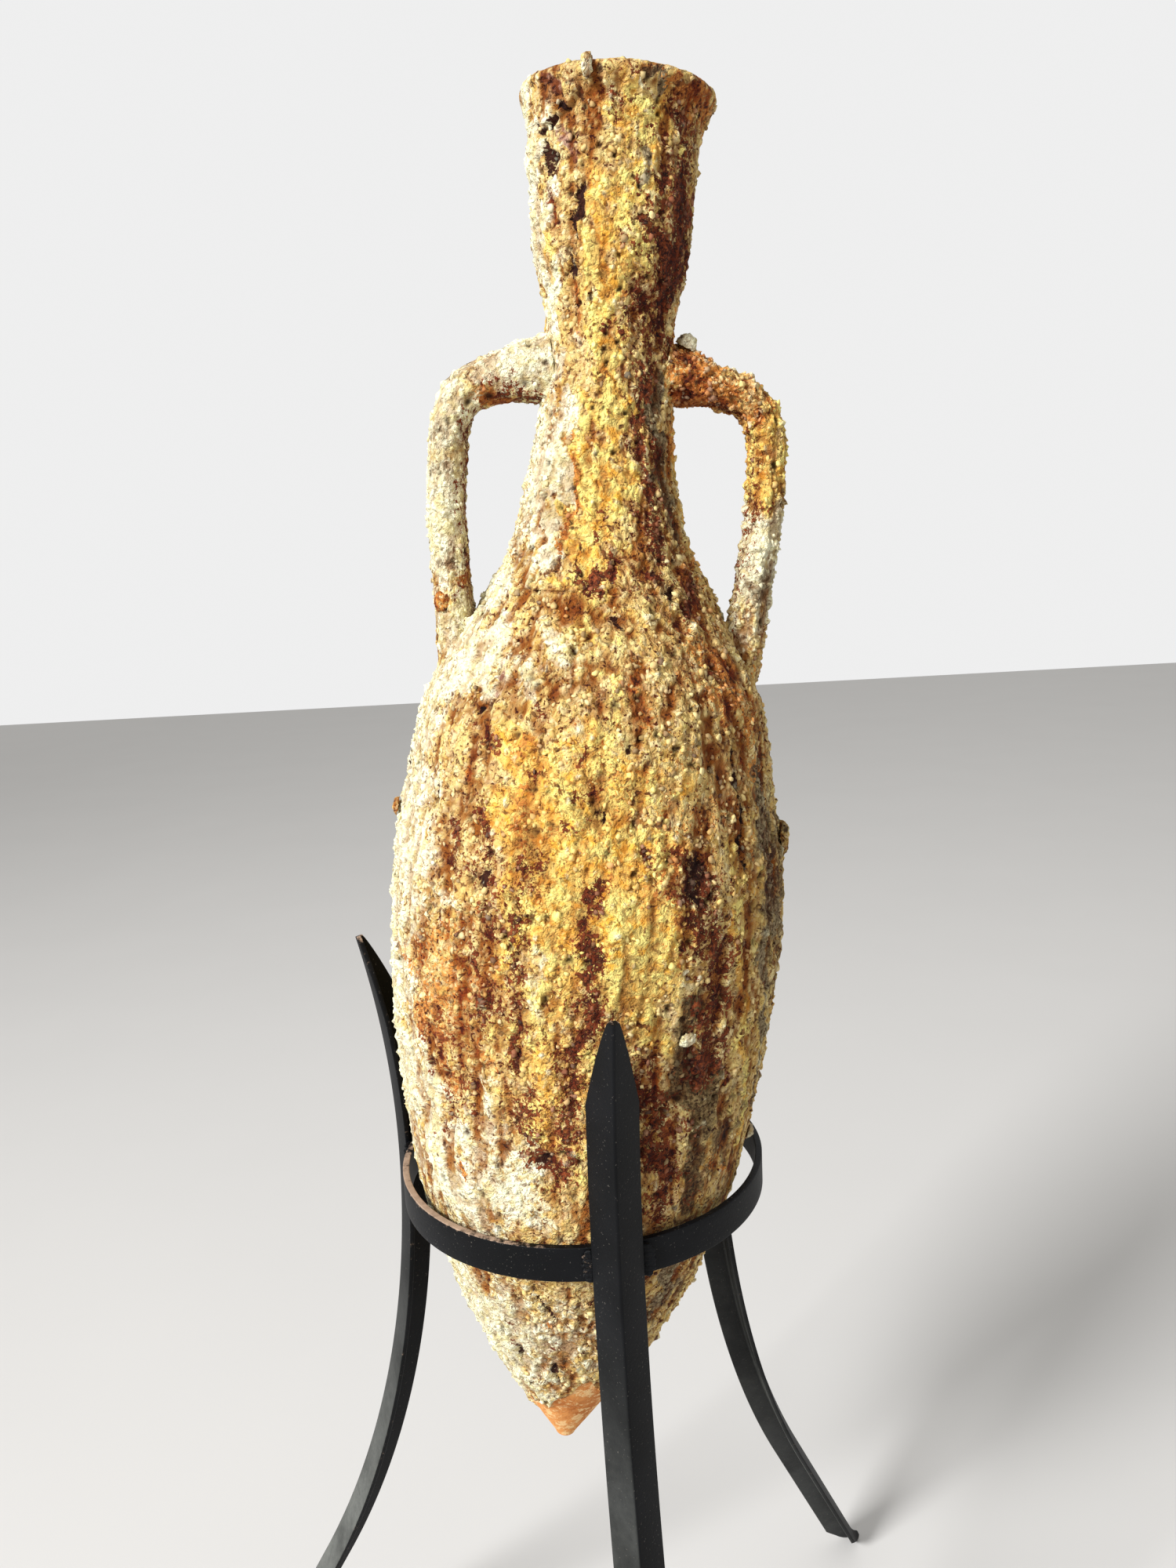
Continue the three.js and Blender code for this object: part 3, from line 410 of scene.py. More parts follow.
# The crust's broad relief, as the solid model has it: waves as (turn of their run round the jar, climb,
# share of the length, start, share of the relief), and runs and hollows as (angle round the jar,
# share of the jar's height, half width in degrees, half height, share of the relief).
CRUST_RELIEF = 2.5
CRUST_WAVE_LENGTH = 80.0
CRUST_WEAR_REACH = 70.0
CRUST_END_FADE = 12.0
CRUST_WAVES = [
    (10, 8, 0.8, 40, 0.24), (75, -30, 1.1, 150, 0.22), (130, 22, 0.95, 260, 0.24),
    (160, -12, 1.3, 330, 0.2), (40, 38, 1.2, 90, 0.2),
]
CRUST_RUNS = [
    (-150, 0.968, 26, 0.022, 1.1), (-141, 0.416, 7, 0.19, 0.6), (-78, 0.515, 12, 0.09, 0.7),
    (-50, 0.495, 10, 0.108, -0.9), (-37, 0.313, 6, 0.045, 1), (-43, 0.406, 6, 0.06, 0.7),
    (-98, 0.551, 7, 0.018, 0.8), (-125, 0.607, 8, 0.02, 0.8), (-92, 0.446, 7, 0.08, -0.6),
    (-128, 0.17, 9, 0.06, 0.6), (-100, 0.14, 8, 0.05, -0.6), (-117, 0.919, 10, 0.02, -0.8),
    (-150, 0.85, 18, 0.03, 0.6), (-48, 0.852, 20, 0.014, -0.7), (-63, 0.707, 14, 0.02, 0.8),
    (-5, 0.4, 8, 0.1, 0.6), (20, 0.62, 9, 0.09, 0.8), (20, 0.84, 18, 0.03, -0.6),
    (40, 0.3, 8, 0.06, -0.6), (55, 0.45, 8, 0.12, 0.9), (60, 0.93, 20, 0.03, 0.8),
    (75, 0.22, 9, 0.05, 0.7), (80, 0.58, 10, 0.05, -0.8), (100, 0.36, 7, 0.08, 0.8),
    (110, 0.8, 16, 0.04, 0.6), (125, 0.52, 9, 0.1, -0.7), (150, 0.44, 7, 0.13, 0.8),
    (160, 0.64, 10, 0.05, 0.7),
]


def swell_at(turn, height):
    return SEAT_SWELL * np.exp(-((height / SEAT_SWELL_REACH) ** 2)) * np.sin(turn) ** 2


def crust_at(turn, height, radius):
    """How far the crust stands out from the fired skin, from its broad waves and runs."""
    share_up = (height - TOE_TIP) / (MOUTH - TOE_TIP)
    total = np.zeros(np.broadcast_shapes(turn.shape, height.shape))
    for way, climb, length, start, share in CRUST_WAVES:
        way, climb = math.radians(way), math.radians(climb)
        walked = radius * np.cos(turn - way) * math.cos(climb) + height * math.sin(climb)
        phase = 2 * math.pi * walked / (length * CRUST_WAVE_LENGTH) + math.radians(start)
        total = total + share * np.sin(phase)
    for middle, level, half_width, half_height, share in CRUST_RUNS:
        aside = degrees_apart(np.degrees(turn), middle) / half_width
        total = total + share * np.exp(-(aside**2) - ((share_up - level) / half_height) ** 2)
    worn = 1 - np.exp(-((height / CRUST_WEAR_REACH) ** 2))
    to_end = np.clip(np.minimum(height - TOE_TOP, MOUTH - height) / CRUST_END_FADE, 0, 1)
    return CRUST_RELIEF * total * worn * to_end


def degrees_apart(a, b):
    return (a - b + 180) % 360 - 180


def in_the_stand(points):
    """Points of the upright jar, moved to where the jar leans in the ring."""
    return np.asarray(points) @ LEAN.T + JAR_FOOT


def in_the_jar(points):
    """The other way round: points of the leaning jar, as if it stood upright."""
    return (np.asarray(points) - JAR_FOOT) @ LEAN


def columns_round(count):
    """Angles round the jar, closer together on its front, which is at -90 degrees."""
    fine = np.linspace(-math.pi, math.pi, TURN_STEPS + 1)
    walked = fine + FRONT_FINENESS * np.sin(fine + math.pi / 2)
    return np.interp(np.linspace(walked[0], walked[-1], count, endpoint=False), walked, fine)


def turned_rows(profile, columns, crusted):
    """Points round the jar's axis for each (height, radius), with the way out from the skin."""
    turn = columns_round(columns)[None, :]
    height, radius = profile[:, 0][:, None], profile[:, 1][:, None]
    out = radius + crusted * (swell_at(turn, height) + crust_at(turn, height, radius))
    height = np.broadcast_to(height, out.shape)
    points = np.stack([out * np.cos(turn), out * np.sin(turn), height], axis=-1)
    slope = np.gradient(profile, axis=0)
    away = np.stack([slope[:, 0], -slope[:, 1]], axis=1)
    away /= np.linalg.norm(away, axis=1)[:, None] + 1e-9
    side = np.broadcast_to(away[:, 0][:, None], out.shape)
    rise = np.broadcast_to(away[:, 1][:, None], out.shape)
    outwards = np.stack([side * np.cos(turn), side * np.sin(turn), rise], axis=-1)
    return points, outwards


# What has grown on the jar

# Marks of each finish on the front, as (half width in millimetres, strength, line of (angle, height)).
# The jar's front is at -90 degrees, its left at 180.
MARKS = {
    "cream": [
        (6.8, 1, [(-160, 748), (-167, 710), (-164, 667), (-161, 638), (-152, 603)]),
        (2.5, 1.2, [(-83, 741), (-82, 741)]), (8.9, 1, [(172, 744), (-178, 736)]),
        (6.9, 1.2, [(-130, 534), (-120, 506), (-123, 476), (-126, 454)]),
        (7.3, 0.7, [(-179, 591), (-152, 563)]), (7.3, 1.3, [(-148, 389), (-132, 377)]),
        (4.5, 0.8, [(-115, 388), (-111, 366)]), (2.2, 0.9, [(-105, 391), (-105, 388)]),
        (7.1, 0.9, [(-157, 364), (-156, 321), (-156, 278), (-155, 234)]),
        (6.8, 0.8, [(-135, 409), (-148, 392)]),
        (2.2, 1.4, [(-144, 276), (-146, 242), (-147, 207), (-147, 166), (-147, 147), (-145, 133)]),
        (3.4, 1.4, [(-145, 133), (-140, 115), (-140, 72), (-143, 44), (-141, 10)]),
        (7.5, 1, [(-137, 99), (-138, 62), (-136, 19)]), (6.6, 0.8, [(-101, 222), (-103, 188), (-104, 175)]),
        (3, 1, [(-99, 234), (-99, 232)]), (11.1, 0.55, [(-118, 109), (-118, 73), (-117, 43), (-109, 44)]),
        (1.8, 1.2, [(-60, 192), (-60, 190)]), (1.5, 1.2, [(-65, 198), (-65, 195)]),
        (11.5, 1, [(-160, -98), (-155, -142), (-132, -170), (-115, -186)]),
        (9.5, 0.6, [(-119, -57), (-125, -130)]), (4.4, 0.5, [(-103, 78), (-112, 59)]),
        (3.3, 1.1, [(-119, 74), (-118, 72)]), (3.5, 0.9, [(-83, -192), (-99, -207)]),
    ],
    "gold": [
        (6.7, 0.8, [(-96, 723), (-71, 727)]), (6.7, 0.5, [(-73, 706), (-59, 712)]),
        (7.6, 1.1, [(-104, 676), (-102, 640), (-96, 619), (-95, 590)]),
        (6.5, 0.7, [(-74, 660), (-68, 641)]), (5.6, 0.9, [(-145, 656), (-146, 652)]),
        (7.4, 1, [(-96, 585), (-84, 558), (-87, 534), (-92, 513), (-100, 487), (-99, 461)]),
        (4.8, 0.9, [(-107, 545), (-114, 525)]), (5.2, 0.7, [(-118, 439), (-106, 442)]),
        (5, 1.15, [(-113, 335), (-110, 307), (-112, 289), (-112, 262), (-112, 229), (-112, 208),
            (-114, 186)]),
        (5.4, 1, [(-99, 323), (-99, 314)]), (4.4, 0.8, [(-93, 355), (-92, 346)]),
        (4.5, 1, [(-65, 320), (-66, 316)]), (5, 0.6, [(-84, 386), (-84, 374)]),
        (7.3, 0.6, [(-82, 327), (-84, 320)]), (9.9, 0.9, [(-82, 252), (-83, 227)]),
        (3, 0.9, [(-70, 251), (-69, 230)]), (10.7, 1, [(-84, 208), (-78, 182), (-72, 151)]),
        (4, 1.2, [(-102, 139), (-102, 123), (-101, 100), (-101, 78)]), (3.4, 0.9, [(-165, 10), (-155, -8)]),
        (3.7, 1, [(-49, 222), (-41, 167), (-41, 128), (-34, 88), (-32, 43), (-28, 1)]),
        (2.3, 0.8, [(-49, 260), (-48, 228)]), (6.1, 0.5, [(-101, 205), (-97, 168)]),
    ],
    "rust": [
        (5.1, 1, [(-61, 743), (-28, 746), (-24, 741)]), (2.5, 0.6, [(-118, 624), (-120, 599)]),
        (3.3, 0.8, [(-81, 620), (-79, 619)]), (3.6, 0.9, [(-139, 671), (-137, 667)]),
        (2.4, 0.8, [(-122, 534), (-110, 512), (-112, 487), (-118, 462)]),
        (5.9, 1.1, [(-36, 447), (-38, 425)]),
        (7.4, 1.1, [(-32, 393), (-36, 377), (-43, 362)]), (1.5, 1.1, [(-130, 318), (-130, 311)]),
        (4.4, 0.65, [(-111, 342), (-113, 310), (-109, 276)]), (5.4, 0.5, [(-97, 355), (-96, 348)]),
        (3, 0.9, [(-122, 237), (-121, 235)]), (4.9, 0.6, [(-86, 272), (-86, 262)]),
        (5.5, 0.55, [(-80, 381), (-75, 360)]), (3, 0.8, [(-67, 282), (-69, 270), (-69, 230)]),
        (9.3, 0.7, [(-138, 157), (-133, 127), (-129, 106)]), (4.4, 1.1, [(-67, 86), (-64, 74)]),
        (3.2, 0.9, [(-71, 134), (-68, 109)]), (2.2, 1.2, [(-57, 117), (-56, 112)]),
        (5.3, 0.6, [(-45, 47), (-39, 28)]), (3, 1, [(-45, 8), (-43, 0)]), (3.1, 1, [(-128, 43), (-127, 41)]),
        (4.4, 0.45, [(-103, -86), (-100, -89)]), (2.7, 0.5, [(-38, 286), (-39, 255)]),
        (3.2, 0.7, [(-34, 363), (-35, 337)]), (2.2, 0.7, [(-48, 178), (-48, 156)]),
    ],
    "brown": [
        (12.1, 0.79, [(-54, 684), (-50, 670), (-58, 654), (-47, 642), (-45, 627), (-43, 607)]),
        # The first mark on the line below, a band down the collar's right side, is painted shade.
        (6.5, 0.58, [(-33, 709), (-31, 682), (-30, 649), (-26, 631)]), (7.1, 0.72, [(-44, 724), (-43, 723)]),
        (6.9, 0.58, [(-91, 736), (-89, 734)]), (4.2, 0.65, [(-88, 607), (-88, 601)]),
        (5.8, 0.58, [(-70, 634), (-69, 630)]), (6.4, 0.36, [(-142, 677), (-136, 664)]),
        (6.2, 0.83, [(-47, 591), (-53, 568), (-64, 550), (-61, 527), (-56, 514), (-59, 499), (-55, 480),
            (-56, 459), (-61, 445)]), (4.3, 0.72, [(-87, 460), (-87, 455)]),
        (7.5, 0.95, [(-97, 443), (-88, 446)]), (7.1, 0.85, [(-31, 442), (-45, 421)]),
        (2.9, 0.72, [(-91, 489), (-91, 484)]), (2.9, 0.65, [(-94, 479), (-94, 472)]),
        (5.8, 0.65, [(-124, 350), (-123, 343)]), (3.6, 0.72, [(-108, 365), (-108, 361)]),
        (4.6, 0.72, [(-132, 282), (-132, 261), (-129, 251)]),
        (4.6, 0.79, [(-122, 291), (-121, 281), (-119, 273)]), (6.2, 0.65, [(-110, 263), (-106, 269)]),
        (5, 0.72, [(-109, 243), (-109, 233)]), (6.2, 0.79, [(-91, 252), (-91, 236), (-91, 227)]),
        (3.6, 0.72, [(-95, 337), (-95, 331)]), (4.5, 0.79, [(-98, 295), (-97, 293)]),
        (5.7, 0.65, [(-93, 312), (-92, 315)]), (3.6, 0.65, [(-106, 323), (-106, 317)]),
        (6.5, 0.65, [(-41, 370), (-43, 363)]), (4.6, 0.65, [(-44, 390), (-46, 384)]),
        (11.6, 0.83, [(-62, 266), (-63, 253), (-61, 238), (-61, 233), (-60, 215), (-55, 206), (-55, 178),
            (-57, 162), (-55, 144), (-55, 131), (-57, 119)]), (5.3, 0.5, [(-78, 279), (-77, 273)]),
        (2.5, 0.79, [(-50, 198), (-48, 147), (-47, 106)]),
        (13, 0.83, [(-75, 122), (-71, 102), (-71, 68), (-66, 52), (-69, 23)]),
        (5, 0.58, [(-88, 218), (-88, 173)]), (6.5, 0.65, [(-76, 140), (-74, 128)]),
        (7.4, 0.65, [(-123, 201), (-120, 186), (-117, 176), (-119, 159)]),
        (6, 0.72, [(-110, 233), (-110, 207), (-110, 188), (-109, 164), (-109, 142), (-109, 127)]),
        (6.2, 0.76, [(-107, 123), (-107, 103), (-108, 85), (-104, 65), (-100, 58), (-95, 60)]),
        (8.8, 0.79, [(-90, 217), (-91, 199), (-89, 180), (-92, 158), (-96, 135), (-95, 113), (-95, 83),
            (-95, 60)]), (4.5, 0.72, [(-123, 116), (-123, 110)]), (3.4, 0.36, [(-119, -98), (-120, -122)]),
        (5.1, 0.43, [(-102, -117), (-102, -126)]), (6.2, 0.43, [(-131, 151), (-130, 135)]),
    ],
    # The dark marks are painted shade: along the curled flap's edge on the collar, along the step where the
    # belly's crust ends, and in small holes and crevices.
    "dark": [
        (2.3, 1, [(-126, 729), (-139, 723), (-146, 718), (-142, 711), (-135, 704), (-137, 694)]),
        (1.9, 1.1, [(-115, 685), (-117, 676), (-117, 667), (-118, 656)]),
        (2.5, 1.1, [(-126, 643), (-129, 631)]), (3.4, 1, [(-53, 441), (-54, 436)]),
        (1.8, 1, [(-83, 419), (-83, 414)]), (1.8, 1, [(-129, 363), (-128, 359)]),
        (1.6, 1, [(-143, 306), (-142, 300)]), (2.5, 1.1, [(-119, 256), (-119, 252)]),
        (1.8, 1.1, [(-44, 341), (-43, 319), (-43, 295), (-44, 268), (-43, 247)]),
        (4.1, 1, [(-62, 266), (-63, 253), (-61, 238)]), (1.5, 1, [(-80, 345), (-80, 339)]),
        (1.2, 1, [(-89, 306), (-89, 300)]), (1.5, 1, [(-104, -45), (-103, -63), (-100, -75), (-96, -85)]),
        (2.3, 1, [(-119, -127), (-121, -138)]), (1.7, 1, [(-99, -139), (-99, -158)]),
        (3.4, 0.9, [(-179, 593), (-179, 565)]), (2.5, 1, [(-101, 64), (-102, 61)]),
    ],
    "grey": [
        (6, 1.1, [(-35, 570), (-50, 546), (-32, 533), (-41, 515), (-33, 490), (-32, 474)]),
        (2.5, 0.9, [(-69, 704), (-69, 702)]), (2.7, 0.8, [(-74, 694), (-74, 689)]),
        (2.2, 1.2, [(-76, 748), (-71, 748)]), (2.5, 1.2, [(-67, 744), (-65, 739)]),
        (9.3, 1, [(-28, 320), (-30, 267), (-24, 213)]),
        (5.2, 1, [(-35, 208), (-28, 157), (-26, 107), (-19, 65)]), (11.2, 0.9, [(-56, -48), (-53, -77)]),
        (3.9, 0.5, [(-128, 704), (-113, 695)]), (9.3, 0.6, [(-39, -16), (-38, -39)]),
    ],
    "olive": [
        (7.7, 1.2, [(-62, 167), (-63, 136), (-63, 111), (-54, 99), (-54, 78), (-56, 52), (-56, 18)]),
        (6.1, 1.1, [(-51, 116), (-52, 83)]), (5.5, 0.5, [(-109, 102), (-114, 45)]),
    ],
    "bare": [
        (3.4, 1.2, [(-137, 746), (-131, 743)]), (5.6, 0.7, [(-129, 715), (-120, 703)]),
        (2.2, 0.5, [(-120, 599), (-121, 589)]), (3, 0.5, [(-126, 382), (-126, 366)]),
    ],
}

# Broad fields of each finish, as (angle, height, half angle, half height, strength)
FIELDS = {
    "cream": [
        # The first cream field, over the whole left side of the jar, is partly cream crust and partly painted
        # light on the side that faces the lamp.
        (-172, 250, 34, 520, 0.85), (-142, 388, 15, 22, 1.2), (-142, 515, 24, 60, 0.9),
        (-153, 680, 20, 60, 0.9), (-118, 395, 18, 20, 0.5), (-122, 30, 22, 60, 0.75),
        (-150, -120, 48, 80, 1.2), (-105, -110, 34, 60, 0.6), (95, 120, 26, 60, 0.6),
        (60, 480, 20, 60, 0.6), (130, -90, 30, 50, 0.6), (30, 300, 14, 40, 0.5),
        (120, 690, 30, 40, 0.6), (110, 330, 20, 40, 0.4),
    ],
    "gold": [
        (-90, 255, 30, 98, 1), (-109, 318, 11, 42, 0.9), (-97, 120, 20, 100, 0.6), (-40, 250, 7, 90, 0.6),
        (-92, 505, 18, 95, 1.15), (-90, 655, 22, 60, 0.8), (-76, 722, 26, 24, 0.8), (-90, 405, 40, 22, 0.35),
        (-36, 120, 8, 110, 0.5), (80, 260, 24, 70, 0.7), (20, 150, 12, 80, 0.6), (120, 500, 20, 70, 0.7),
        (50, 680, 24, 40, 0.6), (60, -60, 24, 60, 0.5), (150, 180, 14, 60, 0.5),
    ],
    "rust": [
        (-38, 385, 18, 45, 0.75), (-60, 250, 16, 110, 0.44), (-84, 300, 12, 50, 0.28),
        (-104, 318, 13, 50, 0.34), (-35, 330, 14, 40, 0.45), (-32, 735, 25, 18, 0.75),
        (-128, 165, 18, 62, 0.62), (-30, 440, 16, 30, 0.6), (40, 400, 20, 30, 0.6), (100, 60, 16, 50, 0.45),
        (10, 560, 20, 50, 0.5), (140, 420, 16, 30, 0.5),
    ],
    "brown": [
        # The first brown field, round the neck's and the collar's right side, is partly brown stain and
        # partly painted shade.
        (-42, 655, 24, 80, 1.05), (-54, 225, 12, 60, 0.5), (-66, 75, 12, 52, 0.5), (-121, 250, 8, 46, 0.55),
        (-131, 110, 14, 50, 0.42), (-54, 530, 12, 100, 0.6), (-100, 90, 10, 60, 0.35), (-84, 745, 30, 6, 0.3),
        (70, 180, 8, 70, 0.5), (30, 230, 8, 80, 0.45), (120, 260, 9, 60, 0.45), (90, 620, 16, 60, 0.4),
        (0, 30, 14, 60, 0.4),
    ],
    "olive": [
        (-22, 220, 17, 130, 0.62), (-44, 60, 20, 72, 0.55), (-50, -80, 26, 60, 0.5), (-32, 520, 18, 60, 0.5),
        (-18, 670, 14, 60, 0.5), (50, 60, 20, 70, 0.5), (5, 360, 16, 50, 0.4), (160, 60, 18, 90, 0.4),
    ],
}

# How far each finish stands out from the skin, in millimetres
MARK_RELIEF = {
    "cream": 1.2, "gold": 1.1, "rust": 0.2, "brown": -0.9, "dark": -2.4, "grey": -0.7, "olive": -0.4,
    "bare": -1.6,
}

# The edge of the curled flap on the collar and the edge where the belly's crust ends, as (angle, height),
# and the heights and angles over which they fade. A side is counted from the jar's right round its front.
COLLAR_FLAP = [
    (-118, 738), (-119, 732), (-126, 728), (-136, 724), (-143, 721), (-146, 716), (-142, 709),
    (-139, 703), (-137, 696),
]
FLAP_HEIGHT = 3.2
FLAP_FOOT, FLAP_HEAD, FLAP_SIDE, FLAP_FAR_ANGLE = (690, 700), (738, 744), (100, 110), (-178, -165)
CRUST_EDGE = [(-44, 365), (-43, 341), (-42, 319), (-42, 295), (-43, 268), (-42, 247), (-44, 225)]
CRUST_STEP = 2.2
EDGE_FOOT, EDGE_HEAD, EDGE_SIDE = (215, 240), (350, 375), (12, 30)
# Where the toe's bare clay ends, as (angle, height)
TOE_EDGE = [
    (-180, -235), (-120, -205), (-90, -185), (-75, -160), (-50, -195), (0, -215), (60, -200),
    (120, -225), (180, -235),
]
TOE_EDGE_BLUR = 5
BARE_CLAY_BELOW_CRUST = 2.2
SEAT_REACH = 50
LIP_FADE = (MOUTH - 14, MOUTH - 3)
NECK_FADE = (NECK_FOOT - 10, NECK_FOOT + 35)
NECK_SMOOTHNESS, SMOOTH_NECK_FADE = 0.32, (440, 560)

BACK_SEED = 11
# The dark marks behind are painted shade in cracks, like those in front.
BACK_MARKS = {
    "cream": 36, "gold": 34, "rust": 18, "brown": 22, "dark": 15, "grey": 9, "olive": 6, "bare": 3,
}
BACK_ANGLES, BACK_HEIGHTS, BACK_STEPS = (-12, 184), (-190, 735), (2, 9)
BACK_TURN, BACK_DROP, BACK_STRENGTH = (-5, 5), (8, 34), (0.6, 1.15)
LOWEST_MARK = -200
BACK_HALF_WIDTH = (2.5, 7)
BACK_HALF_WIDTHS = {"dark": (1.2, 2.6), "brown": (1.8, 5), "cream": (3, 8)}


def marks_behind(finish, chance):
    """Marks for the side that the photograph doesn't show, in the style of the side that it does."""
    found = []
    for _ in range(BACK_MARKS[finish]):
        angle, height = chance.uniform(*BACK_ANGLES), chance.uniform(*BACK_HEIGHTS)
        steps = int(chance.integers(*BACK_STEPS)) if finish != "bare" else 2
        line = [(angle, height)]
        for _ in range(steps):
            angle, height = angle + chance.uniform(*BACK_TURN), height - chance.uniform(*BACK_DROP)
            line.append((angle, max(height, LOWEST_MARK)))
        half_width = chance.uniform(*BACK_HALF_WIDTHS.get(finish, BACK_HALF_WIDTH))
        found.append((half_width, chance.uniform(*BACK_STRENGTH), line))
    return found


def line_distance(angle, height, radius, line):
    """How many millimetres each point of the skin is from a line drawn on it."""
    best = np.full(height.shape, np.inf)
    for (a0, h0), (a1, h1) in zip(line, line[1:]):
        run = np.radians(degrees_apart(a1, a0)) * radius
        x = np.radians(degrees_apart(angle, a0)) * radius
        y = height - h0
        rise = h1 - h0
        share = np.clip((x * run + y * rise) / (run**2 + rise**2 + 1e-6), 0, 1)
        best = np.minimum(best, np.hypot(x - share * run, y - share * rise))
    return best


def soft(value, low, high):
    share = np.clip((value - low) / (high - low), 0, 1)
    return share * share * (3 - 2 * share)


def edge_side(angle, height, line):
    """Degrees past a line that runs down the jar, positive on its left."""
    ordered = sorted((h, a) for a, h in line)
    return degrees_apart(between(ordered, height), angle)


def marked(angle, height, radius, marks):
    """How strongly a finish's marks show at each point of the skin."""
    total = np.zeros_like(height)
    uneven = 1 + 0.4 * np.sin(height / 6.7 + 2 * np.sin(angle / 5))
    uneven = uneven + 0.35 * np.sin(height / 2.9 + angle / 2.3)
    for half_width, strength, line in marks:
        levels = [h for _, h in line]
        reach = 3 * half_width + 4
        near = (height > min(levels) - reach) & (height < max(levels) + reach)
        if near.any():
            away = line_distance(angle[near], height[near], radius[near], line) / (half_width * uneven[near])
            total[near] = np.maximum(total[near], strength * np.exp(-0.6 * away**2))
    return total


def spread_over(angle, height, fields):
    total = np.zeros_like(height)
    for middle, level, half_angle, half_height, strength in fields:
        away = (degrees_apart(angle, middle) / half_angle) ** 2 + ((height - level) / half_height) ** 2
        total = np.maximum(total, strength * np.exp(-(away**1.3)))
    return total


def growth_on_skin(angle, height, radius):
    """The relief of the crust's features, and how strongly each finish shows, at points of the skin."""
    # Sine waves, in millimetres and degrees, that keep the marks and the fields from running straight
    wander = 2.4 * np.sin(height / 7.3 + 2 * np.sin(angle / 9)) + 1.4 * np.sin(height / 3.1 + angle / 4)
    wander = np.degrees(wander) / radius
    stray = 2.2 * np.sin(angle / 4.1 + 2 * np.sin(height / 13)) + 1.2 * np.sin(angle / 1.7 - height / 5)
    drift = 5 * np.sin(height / 27 + angle / 31) + 3 * np.sin(height / 11 - angle / 17)
    chance = np.random.default_rng(BACK_SEED)
    relief = np.zeros_like(height)
    masks = {}
    for finish, marks in MARKS.items():
        mask = marked(angle + wander, height + stray, radius, marks + marks_behind(finish, chance))
        relief += MARK_RELIEF[finish] * np.minimum(mask, 1.1)
        field = spread_over(angle + 4 * wander + drift, height + 5 * stray, FIELDS.get(finish, []))
        masks[finish] = np.maximum(mask, field)
    on_flap = soft(edge_side(angle, height, COLLAR_FLAP), -1.5, 1.5)
    on_flap = on_flap * soft(height, *FLAP_FOOT) * (1 - soft(height, *FLAP_HEAD))
    on_flap = on_flap * soft(angle, *FLAP_FAR_ANGLE) * soft(-angle, *FLAP_SIDE)
    relief += FLAP_HEIGHT * on_flap
    beyond = 1 - soft(edge_side(angle, height, CRUST_EDGE), -1.2, 1.2)
    beyond = beyond * soft(height, *EDGE_FOOT) * (1 - soft(height, *EDGE_HEAD)) * soft(-angle, *EDGE_SIDE)
    return relief - CRUST_STEP * beyond, masks


def skin_attributes(points, outwards, inner):
    """What the crust tree and the clay's finish read at each point. inner is 1 inside the jar."""
    flat = points.reshape(-1, 3)
    radius = np.hypot(flat[:, 0], flat[:, 1])
    angle = np.degrees(np.arctan2(flat[:, 1], flat[:, 0]))
    height, inner = flat[:, 2], inner.ravel()
    relief, masks = growth_on_skin(angle, height, np.maximum(radius, 1))
    ragged = 5 * np.sin(np.radians(angle * 7)) + 3 * np.sin(np.radians(angle * 17 + 40))
    edge = between(TOE_EDGE, angle) + ragged
    crusted = soft(height, edge - TOE_EDGE_BLUR, edge + TOE_EDGE_BLUR)
    seat = np.exp(-((height / SEAT_REACH) ** 2))
    lip = soft(height, *LIP_FADE)
    relief = relief * crusted * (1 - inner) * (1 - 0.6 * seat) * (1 - 0.7 * lip)
    crumbly = crusted * (1 - inner) * (1 - seat) ** 2 * (1 - 0.8 * lip) * (1 - np.minimum(masks["bare"], 1))
    on_the_neck = soft(height, *NECK_FADE)
    smoother = 1 - NECK_SMOOTHNESS * soft(height, *SMOOTH_NECK_FADE)
    return {
        "place": flat * MM,
        "outwards": outwards.reshape(-1, 3) @ LEAN.T,
        "relief": (relief + BARE_CLAY_BELOW_CRUST * (crusted - 1)) * MM,
        "rough": crusted * (1 - 0.8 * inner) * (1 - 0.5 * seat) * (1 - 0.6 * lip) * smoother,
        "crumbly": crumbly * (1 - 0.6 * np.minimum(masks["gold"], 1) * on_the_neck),
        "crusted": crusted,
        "inside": inner,
        **{key: mask * (1 - inner) for key, mask in masks.items()},
    }


def kept(tree, name, kind="FLOAT"):
    """What a mesh keeps on its points under a name."""
    return result(tree, "GeometryNodeInputNamedAttribute", "Attribute", {"Name": name}, data_type=kind)


def keep(tree, geometry, **values):
    for name, value in values.items():
        inputs = {"Geometry": geometry, "Name": name, "Value": value}
        settings = {"data_type": "FLOAT", "domain": "POINT"}
        geometry = result(tree, "GeometryNodeStoreNamedAttribute", 0, inputs, **settings)
    return geometry


def random_value(tree, kind, low, high, seed):
    output, first = (0, 0) if kind == "FLOAT_VECTOR" else (1, 2)
    inputs = {first: low, first + 1: high, "Seed": seed}
    return result(tree, "FunctionNodeRandomValue", output, inputs, data_type=kind)


def new_tree(name, sizes, seed):
    """An empty Geometry Nodes tree with a named input for each size, and what its inputs give."""
    tree = bpy.data.node_groups.new(name, "GeometryNodeTree")
    inputs = [("Geometry", "Geometry", None), *((key, "Float", size) for key, size in sizes.items())]
    inputs += [("Seed", "Int", seed), ("Finish", "Material", None)]
    for key, kind, value in inputs:
        socket = tree.interface.new_socket(key, in_out="INPUT", socket_type="NodeSocket" + kind)
        if value is not None:
            socket.default_value = value
    tree.interface.new_socket("Geometry", in_out="OUTPUT", socket_type="NodeSocketGeometry")
    given = tree.nodes.new("NodeGroupInput").outputs
    return tree, {key: Value(tree, given[key]) for key, _, _ in inputs}


def end_tree(tree, geometry, finish):
    real = result(tree, "GeometryNodeRealizeInstances", 0, {"Geometry": geometry})
    coated = result(tree, "GeometryNodeSetMaterial", 0, {"Geometry": real, "Material": finish})
    add(tree, "NodeGroupOutput", {"Geometry": coated})
    return tree


